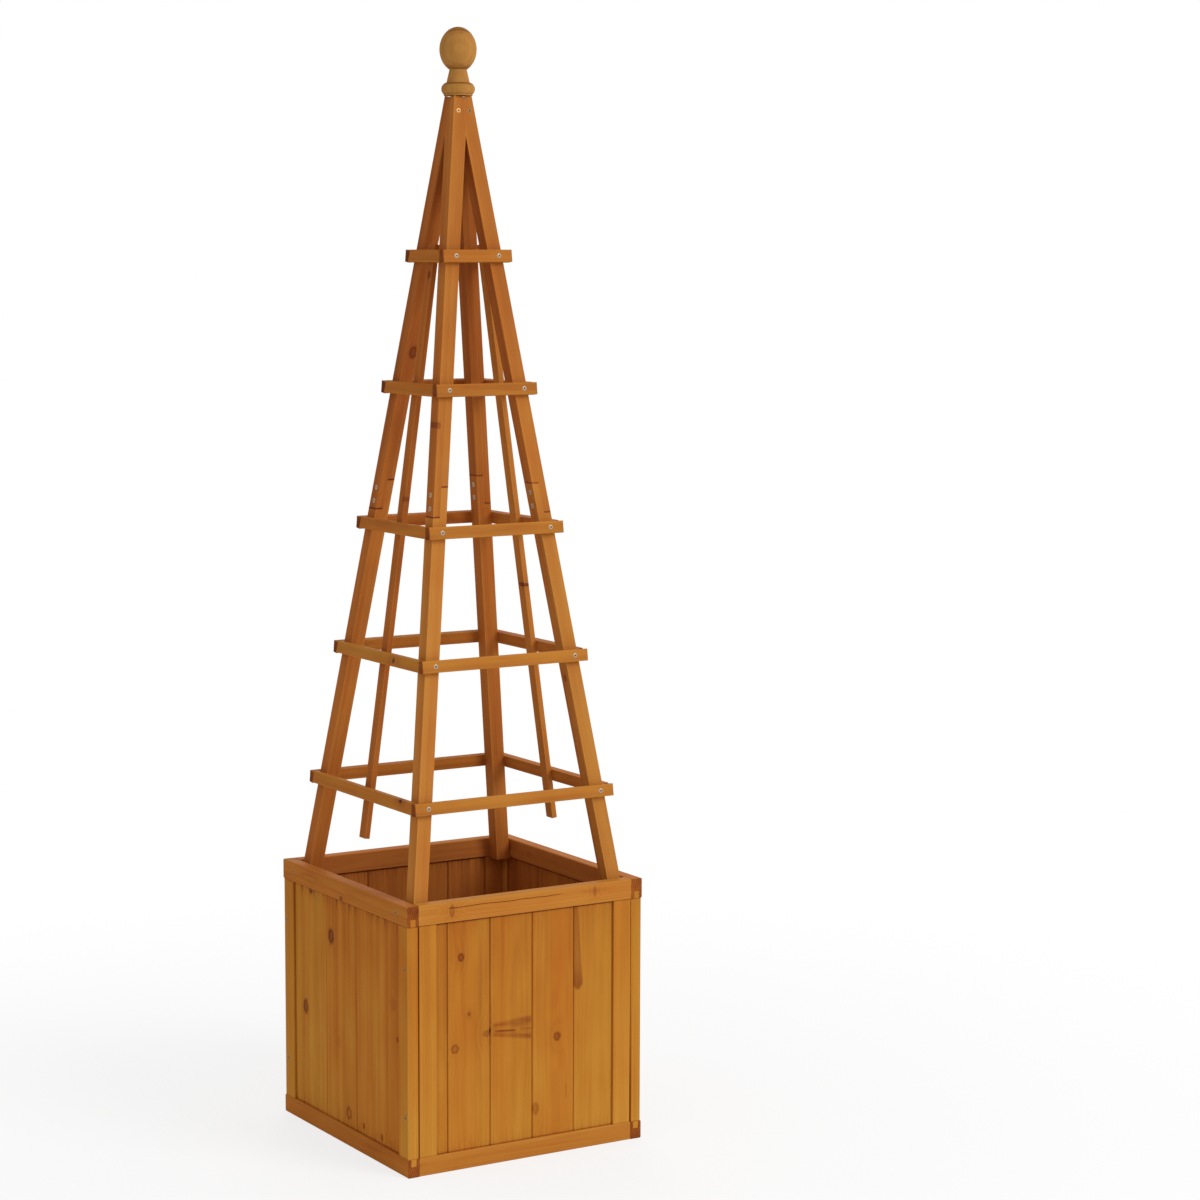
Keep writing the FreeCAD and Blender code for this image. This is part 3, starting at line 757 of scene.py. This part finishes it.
def board_marks(side, joints):
    """The marks of the boards on one side of the box.

    Painted shade lies along the rails and the last stile, with painted shadow lines at the foot and the
    top.
    Stain gathers along the joints and runs in short drips at both ends; under the top rail the drips carry
    painted shade too. Joints are open up to a height and close up above it. The outer faces get the painted
    rim shade, and the front has marks of its own.
    """
    across_front = side in ACROSS_FRONT
    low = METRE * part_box(side + "_bottom_rail")[1][2]
    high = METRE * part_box(side + "_top_rail")[0][2]
    stile = "%s_panel_%s_stile" % (side, "right" if across_front else "back")
    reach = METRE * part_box(stile)[0][0 if across_front else 1]
    open_below = JOINTS_OPEN_BELOW[side]
    foot_drips, top_drips_and_shade = BOARD_DRIPS_AND_SHADE[side]

    def marks(finish, u, v, w):
        # Painted shade beside the rails and the last stile, and painted shadow lines at the foot and the
        # top
        beside = finish.past(u, low, BESIDE_RAIL, 0.0) + finish.past(u, high, -BESIDE_RAIL, 0.0)
        beside = beside + finish.past(v, reach, -BESIDE_STILE, 0.0)
        lines = finish.past(u, low, *FOOT_LINE) + finish.past(u, high, *TOP_LINE) * TOP_LINE_SHARE
        # Stain drips at the foot; under the top rail, stain drips with painted shade
        foot = finish.past(u, low, FOOT_DRIP_REACH, 0.0) * foot_drips
        top = finish.past(u, high, -TOP_DRIP_AND_SHADE_REACH, 0.0) * top_drips_and_shade
        ragged = finish.noise(u * DRIP_SCALE[0], v * DRIP_SCALE[1], DRIP_SLICE)
        drips = (foot + top) * finish.smooth(ragged, *DRIP_RAGGED)
        seams = 0.0
        for joint in joints:
            seams = seams + finish.near(v, joint, *JOINT_LINE)
        seams = seams * (1.0 - finish.past(u, open_below, 0.0, JOINT_CLOSING) * JOINT_LOSS)
        shade = beside * BESIDE_SHADE + lines * LINE_SHADE + drips + seams * JOINT_STAIN
        # Painted rim shade on the outer faces only
        outside = w * float(SIGN[side]) > 0.0
        shade = shade + painted_rim_shade(u) * outside
        if side == "front":
            own = sawn_branch(finish, u, v) + sap_streak(finish, u, v) + short_check(finish, u, v)
            shade = shade + own
        return shade

    return marks


def finish_boards():
    """Pine for the upright boards of the four sides; their heights are measured from the ground."""
    for side, sign in SIGN.items():
        node = side + "_boards"
        across, through = panel_axes(side)
        origin = tuple(part * axis for part, axis in zip(middle_of(node), through))
        joints = FRONT_JOINTS if side in ACROSS_FRONT else SIDE_JOINTS
        middles = FRONT_MIDDLES if side in ACROSS_FRONT else SIDE_MIDDLES
        dress_in_pine(
            node, Grain(Z_AXIS, across, through, origin), BOARD_TONE,
            boards=Boards(joints, middles, BOARD_TONES[side], BOARD_WARMTHS[side]),
            knots=BOARD_KNOTS[side], marks=board_marks(side, joints), inside=-sign,
            pith=(BOARD_PITH_ACROSS, BOARD_PITH_IN * sign), ring_depth=BOARD_RINGS[side],
            streaks=BOARD_STREAKS[side],
        )


# The floor of the box

FLOOR_TONE = 0.52
FLOOR_JOINTS = (-106.0, -32.4, 41.2, 114.8)
FLOOR_MIDDLES = (-145.6, -72.0, 1.6, 75.2, 148.8)
FLOOR_TONES = (0.0, 0.03, -0.02, 0.02, -0.01)
FLOOR_KNOTS = [Knot(60.0, -70.0, 5.0, 5.0), Knot(-90.0, 76.0, 6.0, 5.0)]


def finish_floor():
    """Pine for the floor boards and the two battens under them."""
    node = "floor_boards"
    grain = Grain(X_AXIS, Y_AXIS, Z_AXIS, middle_of(node))
    dress(node, pine(
        "floor_board_pine", grain, seeds[node], FLOOR_TONE,
        boards=Boards(FLOOR_JOINTS, FLOOR_MIDDLES, FLOOR_TONES), knots=FLOOR_KNOTS,
    ))
    for side in LEFT_RIGHT:
        node = side + "_floor_batten"
        dress_in_pine(node, Grain(Y_AXIS, Z_AXIS, X_AXIS, middle_of(node)), FLOOR_TONE + shade_of(node))


# The legs of the trellis

LEG_KNOTS = {
    "front_left_upper_leg": [Knot(1080.0, -9.5, 5.0, 3.0, 0.15, 0.05)],
    "back_left_upper_leg": [Knot(1182.0, 3.0, 8.5, 6.5, 0.13, 0.09)],
    "front_right_lower_leg": [Knot(699.0, 0.0, 6.0, 3.5, 0.16, 0.05, side=True)],
}
LEG_TONES = {"front_lower": 0.46, "front_upper": 0.53, "back_lower": 0.5, "back_upper": 0.55}
LEG_SHADES = {
    "front_left_lower_leg": -0.01, "front_right_lower_leg": 0.05,
    "front_left_upper_leg": 0.0, "front_right_upper_leg": 0.02, "back_right_upper_leg": 0.04,
}
LEG_WARMTHS = {"front_lower": 0.4, "front_upper": 0.65, "back_lower": 0.75, "back_upper": 1.0}
# Painted shade on the legs' side faces, as extra redness
LEG_SIDE_SHADE_RED = 0.35
LEG_PALENESS = 1.22
LEG_PITH = (26.0, 14.0)
LAP_BOTTOM, LAP_TOP = 947.25, 990.75
LAP_LINE = (1.8, 0.6)
# Painted shade of the shoulder lines on the left and on the right legs
LAP_GAP_SHADES = {"left": 0.3, "right": 0.22}
PALER_RUN, PALER = ((940.0, 990.0), (1200.0, 1080.0)), 0.06


def lap_marks(front, side):
    """The marks of one leg: painted shadow lines, standing in for the shoulder gaps, where the halves of
    its lap end, at the foot of the lap on the outer half and at its top on the inner one.

    The front right leg is paler towards the lap.
    """
    pale_leg = (front, side) == ("front", "right")

    def marks(finish, u, v, w):
        outer = v * float(SIGN[side]) > 0.0
        # Painted shadow lines standing in for the shoulder gaps of the lap
        foot = finish.near(u, LAP_BOTTOM, *LAP_LINE) * outer
        top = finish.near(u, LAP_TOP, *LAP_LINE) * (1.0 - outer)
        paler = finish.window(u, *PALER_RUN) if pale_leg else 0.0
        return (foot + top) * LAP_GAP_SHADES[side] - paler * PALER

    return marks


def finish_legs():
    """Pine for the lower and upper legs.

    Each leg's wood is measured from its own leaning middle line, so edges and rings lean with it.
    """
    reach = leg_face(0.0) - LEG / 2
    for front in ACROSS_FRONT:
        for side in LEFT_RIGHT:
            sx, sy = SIGN[side], SIGN[front]
            origin = (sx * reach, sy * reach, 0.0)
            grain = Grain(Z_AXIS, (1.0, 0.0, sx * LEAN), (0.0, 1.0, sy * LEAN), origin)
            for part in ("lower", "upper"):
                node = "%s_%s_%s_leg" % (front, side, part)
                row = "%s_%s" % (front, part)
                dress_in_pine(
                    node, grain, LEG_TONES[row] + LEG_SHADES.get(node, shade_of(node)),
                    warmth=LEG_WARMTHS[row], side_warmth=LEG_SIDE_SHADE_RED, paleness=LEG_PALENESS,
                    half=(LEG / 2, LEG / 2), knots=LEG_KNOTS.get(node, ()), marks=lap_marks(front, side),
                    pith=(LEG_PITH[0] * sx, LEG_PITH[1] * sy),
                )


# The slats and centre strips of the trellis

SLAT_KNOTS = {
    "left_slat_4": [Knot(-52.0, 0.0, 4.0, 4.0, **DARK_CORE)],
    "left_slat_5": [Knot(-122.0, 6.5, 4.0, 3.0, 0.3, 0.05)],
    "back_slat_3": [Knot(30.0, 1.0, 5.0, 3.5)],
}
# The back slats' darker tone is painted shade
SLAT_TONES = {"front": 0.53, "back": 0.57, "left": 0.51, "right": 0.52}
RING_TONES = {1: 0.04, 2: 0.05, 3: 0.01, 4: 0.02, 5: 0.0}
SLAT_SPREAD = 0.02
# The back slats' extra redness is painted shade
SLAT_WARMTHS = {"front": 0.45, "back": 0.8, "left": 0.6, "right": 0.7}
RING_WARMTHS = {1: 0.1, 2: 0.05, 3: 0.05, 4: -0.2, 5: 0.0}
SLAT_PALENESS = 1.14
SLAT_PITH = (3.0, -20.0)


def finish_slats():
    """Pine for the five rings of slats."""
    for side in SIGN:
        along, _ = panel_axes(side)
        up, out = lean_axes(side)
        for ring, height in RING_HEIGHTS.items():
            node = "%s_slat_%d" % (side, ring)
            middle = on_face(side, height) + np.array(out) * SLAT_THICKNESS / 2
            dress_in_pine(
                node, Grain(along, up, out, tuple(middle)),
                SLAT_TONES[side] + RING_TONES[ring] + shade_of(node, SLAT_SPREAD),
                warmth=SLAT_WARMTHS[side] + RING_WARMTHS[ring], half=(SLAT_HEIGHT / 2, SLAT_THICKNESS / 2),
                knots=SLAT_KNOTS.get(node, ()), pith=SLAT_PITH, paleness=SLAT_PALENESS,
            )


STRIP_KNOTS = {
    "left": [Knot(968.0, -6.0, 4.5, 4.0, 0.12, 0.04), Knot(1298.0, -2.0, 6.0, 4.5, 0.16, 0.06)],
    "right": [Knot(829.0, -3.0, 3.0, 9.0, 0.25, 0.1)],
}
STRIP_TONES = {"left": 0.52, "right": 0.46}
STRIP_WARMTHS = {"left": 1.1, "right": 0.6}
STRIP_PITH = (-22.0, -12.0)
STRIP_STREAKS = 0.18


def finish_strips():
    """Pine for the centre strips, which lie inside the side slats."""
    for side in LEFT_RIGHT:
        node = side + "_centre_strip"
        _, out = lean_axes(side)
        middle = on_face(side, 0.0) - np.array(out) * STRIP_THICKNESS / 2
        dress_in_pine(
            node, Grain(Z_AXIS, Y_AXIS, out, tuple(middle)), STRIP_TONES[side] + shade_of(node),
            warmth=STRIP_WARMTHS[side], half=(STRIP_WIDTH / 2, STRIP_THICKNESS / 2),
            knots=STRIP_KNOTS[side], pith=STRIP_PITH, streaks=STRIP_STREAKS, paleness=LEG_PALENESS,
        )


# New pieces: closed skins over rings of points


def ring_faces(rings, count, start=0):
    """Faces over rings of points that are numbered from start.

    Neighbouring rings are joined by quads that wrap round, and a cap closes the first and the last ring.
    """
    corner = start + np.arange(rings * count).reshape(rings, count)
    after = np.roll(corner, -1, axis=1)
    quads = np.stack([corner[:-1], after[:-1], after[1:], corner[1:]], axis=-1).reshape(-1, 4)
    return quads.tolist() + [corner[0, ::-1].tolist(), corner[-1].tolist()]


def add_piece(name, points, faces, material):
    """A smooth piece that rides with the planter, from points in millimetres."""
    mesh = bpy.data.meshes.new(name)
    mesh.from_pydata((points.reshape(-1, 3) / METRE).tolist(), [], faces)
    mesh.polygons.foreach_set("use_smooth", [True] * len(faces))
    mesh.materials.append(material)
    piece = new_object(name, mesh)
    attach(piece, "root")
    return piece


# The finial

FINIAL_BASE, COLLAR, COLLAR_HEIGHT, FLARE = 21.4, 24.9, 19.5, 17.2
NECK, NECK_RISE, BALL, BALL_HALF_HEIGHT = 12.8, 18.9, 27.5, 33.0
FOOT_CAP, FOOT_EDGE = 2.0, 0.4
COLLAR_STEPS, STEM_STEPS, BALL_STEPS, TURN_STEPS = 25, 17, 49, 96
BALL_FIRST, BALL_LAST = 0.6, 89.0
STEM_FOOT_EASE, STEM_TOP_EASE = (-0.2, 0.9), (0.1, -0.5)
FINIAL_SEED, FINIAL_TONE, FINIAL_RING_GAP, FINIAL_PITH = 3.7, 0.5, 5.5, (18.0, 34.0)


def oval_arc(centre, radii, start, stop, count):
    """Points (radius, height) on an oval arc between two angles in degrees."""
    angle = np.radians(np.linspace(start, stop, count))
    return np.stack([centre[0] + radii[0] * np.cos(angle), centre[1] + radii[1] * np.sin(angle)], axis=1)


def finial():
    """The turned finial: its profile (collar arc, tapered stem, oval) carried round the upright axis.

    The stem starts a little above the collar and ends a little below the oval, which eases both edges.
    """
    bead = COLLAR_HEIGHT / 2
    middle = COLLAR - bead
    foot = -math.degrees(math.acos((FINIAL_BASE - middle) / bead))
    top = math.degrees(math.acos((FLARE - middle) / bead))
    neck_height = bead + bead * math.sin(math.radians(top)) + NECK_RISE
    neck = -math.degrees(math.acos(NECK / BALL))
    ball_height = neck_height - BALL_HALF_HEIGHT * math.sin(math.radians(neck))
    stem_foot = (FLARE + STEM_FOOT_EASE[0], neck_height - NECK_RISE + STEM_FOOT_EASE[1])
    stem_top = (NECK + STEM_TOP_EASE[0], neck_height + STEM_TOP_EASE[1])
    profile = np.concatenate([
        np.array([(FOOT_CAP, 0.0), (FINIAL_BASE - FOOT_EDGE, 0.0), (FINIAL_BASE, FOOT_EDGE)]),
        oval_arc((middle, bead), (bead, bead), foot, top, COLLAR_STEPS),
        np.linspace(stem_foot, stem_top, STEM_STEPS),
        oval_arc((0.0, ball_height), (BALL, BALL_HALF_HEIGHT), neck + BALL_FIRST, BALL_LAST, BALL_STEPS),
    ])
    angle = np.linspace(0, 2 * np.pi, TURN_STEPS, endpoint=False)
    radius, height = profile[:, :1], profile[:, 1:]
    points = np.stack([radius * np.cos(angle), radius * np.sin(angle), APEX + height + 0 * angle], axis=-1)
    material = pine(
        "finial_pine", Grain(Z_AXIS, X_AXIS, Y_AXIS, (0.0, 0.0, APEX)), FINIAL_SEED, FINIAL_TONE,
        ramps=(TURNED,), ring_gap=FINIAL_RING_GAP, pith=FINIAL_PITH,
    )
    piece = add_piece("turned_finial", points, ring_faces(*points.shape[:2]), material)
    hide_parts("finial")


# Screws

HEAD_RADIUS, HEAD_RISE, HEAD_EDGE, HEAD_SUNK = 3.75, 0.7, 0.05, 0.6
HEAD_RINGS, HEAD_STEPS, HEAD_CROWDING, HEAD_TURN_RADIANS = 15, 40, 0.8, 0.9
CROSS_WIDTH, CROSS_SLOPE, CROSS_REACH, CROSS_END_SLOPE, CROSS_DEPTH = 0.65, 0.3, 1.9, 0.4, 0.9

# A head's colour on its face and in its recess, where the dark is dirt and painted shade, and how metallic
# it is
BRIGHT_ZINC = (srgb(170, 148, 124), srgb(72, 50, 36), 0.6)
STAINED_ZINC = (srgb(148, 108, 66), srgb(84, 52, 28), 0.95)
YELLOW_ZINC = (srgb(205, 158, 96), srgb(78, 42, 22), 0.6)
APEX_DIRT = 0.5
GRIME_SCALE = 900.0
# How much dirt and painted shade the recess gets, how much grime the head gets, and where the dark shows
RECESS_DIRT_AND_SHADE, GRIME_DIRT, DIRT_AND_SHADE_SHOWS = 0.9, 0.35, (0.1, 0.8)
ZINC_ROUGH, RECESS_ROUGH, GRIME_ROUGH = 0.38, 0.3, 0.15


def zinc(name, plating=BRIGHT_ZINC):
    """Zinc-plated steel, dull and slightly yellow, with dirt and painted shade in the low places of the
    cross recess.
    """
    face, low_places, metallic = plating
    material, finish = new_finish(name)
    point = finish.node("ShaderNodeTexCoord", output="Object")
    speckle = {"Vector": point, "Scale": GRIME_SCALE, "Detail": PLAIN_DETAIL}
    grime = finish.node("ShaderNodeTexNoise", None, speckle)
    recess = finish.node("ShaderNodeAttribute", {"attribute_name": "recess"}, output="Fac")
    # Dirt and painted shade in the cross recess, with grime spread over the head
    dirt = recess * RECESS_DIRT_AND_SHADE + (grime - NOISE_MIDDLE) * GRIME_DIRT
    colour = finish.mix(finish.smooth(dirt, *DIRT_AND_SHADE_SHOWS), face, low_places)
    rough = ZINC_ROUGH + recess * RECESS_ROUGH + grime * GRIME_ROUGH
    shader = finish.node(
        "ShaderNodeBsdfPrincipled", None, {"Base Color": colour, "Roughness": rough, "Metallic": metallic}
    )
    finish.node("ShaderNodeOutputMaterial", None, {"Surface": shader})
    return material


def screw_head(centre, normal, turn):
    """Points and recess depth of one head: a low dome over (radius, angle) with a cross sunk into it.

    The height is the rise times 1 - (r / R) ** 4; inside a cross of two bars it drops to almost nothing.
    """
    radius = HEAD_RADIUS * np.linspace(0, 1, HEAD_RINGS)[::-1] ** HEAD_CROWDING
    angle = np.linspace(0, 2 * np.pi, HEAD_STEPS, endpoint=False)
    r, a = np.meshgrid(radius, angle, indexing="ij")
    x, y = r * np.cos(a), r * np.sin(a)
    bar = np.minimum(np.abs(x), np.abs(y))
    cross = np.clip((CROSS_WIDTH - bar) / CROSS_SLOPE, 0, 1)
    cross = cross * np.clip((CROSS_REACH - r) / CROSS_END_SLOPE, 0, 1)
    height = HEAD_EDGE + HEAD_RISE * (1 - (r / HEAD_RADIUS) ** 4) * (1 - CROSS_DEPTH * cross)
    out = np.array(normal) / np.linalg.norm(normal)
    side = np.cross(out, Z_AXIS)
    side = side / np.linalg.norm(side)
    up = np.cross(side, out)
    first = side * math.cos(turn) + up * math.sin(turn)
    second = up * math.cos(turn) - side * math.sin(turn)
    grid = np.array(centre) + x[..., None] * first + y[..., None] * second + height[..., None] * out
    foot = grid[:1] - (height[:1, :, None] + HEAD_SUNK) * out
    return np.concatenate([foot, grid]), np.concatenate([0 * cross[:1], cross])


def screws(name, places, plating=BRIGHT_ZINC, dirt=0.0):
    """All the heads of one kind in one piece; the dirt goes on the face of every second head."""
    points, faces, depths, start = [], [], [], 0
    for number, (centre, normal) in enumerate(places):
        grid, recess = screw_head(centre, normal, HEAD_TURN_RADIANS * number)
        faces += ring_faces(*grid.shape[:2], start)
        points.append(grid.reshape(-1, 3))
        depths.append(np.maximum(recess.reshape(-1), dirt * (number % 2)))
        start += recess.size
    piece = add_piece(name, np.concatenate(points), faces, zinc(name + "_zinc", plating))
    depth = piece.data.attributes.new("recess", "FLOAT", "POINT")
    depth.data.foreach_set("value", np.concatenate(depths))


def slat_screw_places():
    """One screw wherever a front or back slat crosses a leg."""
    places = []
    for side in ACROSS_FRONT:
        _, out = lean_axes(side)
        for height in RING_HEIGHTS.values():
            _, y, z = on_face(side, height) + np.array(out) * SLAT_THICKNESS
            for sx in (-1, 1):
                places.append(((sx * (leg_face(height) - LEG / 2), y, z), out))
    return places


LAP_SCREW_HEIGHTS = {"left": (979.0, 959.0), "right": (976.0, 956.0)}


def lap_screw_places():
    """Two screws at each half lap, all driven from the left, so those of the right legs are inside."""
    places = []
    for side in LEFT_RIGHT:
        for sy in (-1, 1):
            for z in LAP_SCREW_HEIGHTS[side]:
                x = -leg_face(z) if side == "left" else leg_face(z) - LEG
                out = (-LEAN_COSINE, 0, -SIGN[side] * LEAN_SINE)
                places.append(((x, sy * (leg_face(z) - LEG / 2), z), out))
    return places


RAIL_FACE, RAIL_SCREW_ACROSS, RAIL_SCREW_HEIGHT = 200.0, 166.0, 386.0
STILE_FACE, STILE_SCREW_ACROSS, STILE_SCREW_HEIGHTS = 199.0, 190.5, (88.0, 307.0)


def box_screw_places():
    """Near each corner of the left and right sides, one screw in the top rail and two in the stile."""
    places = []
    for sx in (-1, 1):
        for sy in (-1, 1):
            places.append(((sx * RAIL_FACE, sy * RAIL_SCREW_ACROSS, RAIL_SCREW_HEIGHT), (sx, 0, 0)))
            for z in STILE_SCREW_HEIGHTS:
                places.append(((sx * STILE_FACE, sy * STILE_SCREW_ACROSS, z), (sx, 0, 0)))
    return places


APEX_SCREW_HEIGHT, APEX_SCREW_ACROSS = 1538.0, 9.3


def apex_screw_places():
    """Two screws side by side in the front legs, under the finial."""
    _, out = lean_axes("front")
    y = -leg_face(APEX_SCREW_HEIGHT)
    return [((sx * APEX_SCREW_ACROSS, y, APEX_SCREW_HEIGHT), out) for sx in (-1, 1)]


# Build

finish_rails()
finish_stiles()
finish_boards()
finish_floor()
finish_legs()
finish_slats()
finish_strips()
finial()
dress("finial_dowel_screw", zinc("dowel_zinc"))
screws("slat_screws", slat_screw_places())
screws("lap_screws", lap_screw_places())
screws("box_screws", box_screw_places(), STAINED_ZINC)
screws("apex_screws", apex_screw_places(), YELLOW_ZINC, dirt=APEX_DIRT)

# Studio: floor, light and camera, in metres

WHITE = (1.0, 1.0, 1.0, 1.0)
STUDIO_GREY = (0.93, 0.93, 0.93, 1.0)
STUDIO_HALF = 12.0
NEAR_WHITE, FAR_WHITE, WHITE_FADE = 0.75, 0.25, (0.5, 1.8)
UNDER_BOX_MM = (185.0, 195.0)
SKY_STRENGTH = 0.6
LIGHT_TARGET = (0.0, 0.0, 0.7)
LIGHT_SIZE = 4.0
KEY_PLACE, KEY_WATTS = (3.0, -6.0, 4.6), 270.0
FILL_PLACE, FILL_WATTS = (3.0, 6.0, 3.6), 110.0
CAMERA_PLACE, CAMERA_TILT, CAMERA_HEADING = (-2.2052, -3.8975, 1.3402), 83.256, -30.585
CAMERA_SENSOR_MM, CAMERA_LENS_MM, CAMERA_SHIFT = 36.0, 89.86, 0.0704


def seen_rays(finish):
    """1 where the background is seen, also in metal or glass, and 0 where it only lights the planter."""
    kinds = ("Is Camera Ray", "Is Glossy Ray", "Is Transmission Ray")
    sight, gloss, glass = (finish.node("ShaderNodeLightPath", output=kind) for kind in kinds)
    return finish.math("MAXIMUM", finish.math("MAXIMUM", sight, gloss), glass)


def floor():
    """A pale floor, shaded under the planter, that keeps its shadow near it and runs out into white."""
    material, finish = new_finish("pale_floor")
    point = finish.node("ShaderNodeTexCoord", output="Object")
    reach = finish.node("ShaderNodeVectorMath", {"operation": "LENGTH"}, {0: point}, output=1)
    matt = finish.node("ShaderNodeBsdfDiffuse", None, {"Color": STUDIO_GREY})
    white = finish.node("ShaderNodeEmission", None, {"Color": WHITE, "Strength": 1.0})
    x = finish.along_axis(point, X_AXIS, (0.0, 0.0, 0.0))
    y = finish.along_axis(point, Y_AXIS, (0.0, 0.0, 0.0))
    outside = finish.smooth(finish.math("MAXIMUM", abs(x), abs(y)), *UNDER_BOX_MM)
    share = seen_rays(finish) * outside * (NEAR_WHITE + finish.smooth(reach, *WHITE_FADE) * FAR_WHITE)
    surface = finish.node("ShaderNodeMixShader", None, {0: share, 1: matt, 2: white})
    finish.node("ShaderNodeOutputMaterial", None, {"Surface": surface})
    half = STUDIO_HALF
    corners = [(-half, -half, 0.0), (half, -half, 0.0), (half, half, 0.0), (-half, half, 0.0)]
    mesh = bpy.data.meshes.new("floor")
    mesh.from_pydata(corners, [], [(0, 1, 2, 3)])
    mesh.materials.append(material)
    plane = new_object("floor", mesh)


def sky():
    """Even light from all round, and plain white to the camera."""
    world = bpy.data.worlds.new("studio")
    world.use_nodes = True
    bpy.context.scene.world = world
    finish = Finish(world.node_tree)
    strength = seen_rays(finish) * (1.0 - SKY_STRENGTH) + SKY_STRENGTH
    light = finish.node("ShaderNodeBackground", None, {"Color": WHITE, "Strength": strength})
    finish.node("ShaderNodeOutputWorld", None, {"Surface": light})


def area_light(name, place, power):
    """A round lamp that looks at the middle of the planter."""
    lamp = bpy.data.lights.new(name, "AREA")
    lamp.shape = "DISK"
    lamp.size = LIGHT_SIZE
    lamp.energy = power
    away = np.array(LIGHT_TARGET) - np.array(place)
    level = math.hypot(away[0], away[1])
    holder = new_object(name, lamp)
    holder.location = place
    holder.rotation_euler = (math.atan2(level, -away[2]), 0.0, math.atan2(away[1], away[0]) - math.pi / 2)


def camera():
    """A camera at the photograph's place and angle."""
    lens = bpy.data.cameras.new("photo_view")
    lens.sensor_width = CAMERA_SENSOR_MM
    lens.lens = CAMERA_LENS_MM
    lens.shift_x = CAMERA_SHIFT
    holder = new_object("photo_view", lens)
    holder.location = CAMERA_PLACE
    holder.rotation_euler = (math.radians(CAMERA_TILT), 0.0, math.radians(CAMERA_HEADING))
    bpy.context.scene.camera = holder


floor()
sky()
area_light("key", KEY_PLACE, KEY_WATTS)
area_light("fill", FILL_PLACE, FILL_WATTS)
camera()
bpy.context.scene.view_settings.view_transform = "Standard"
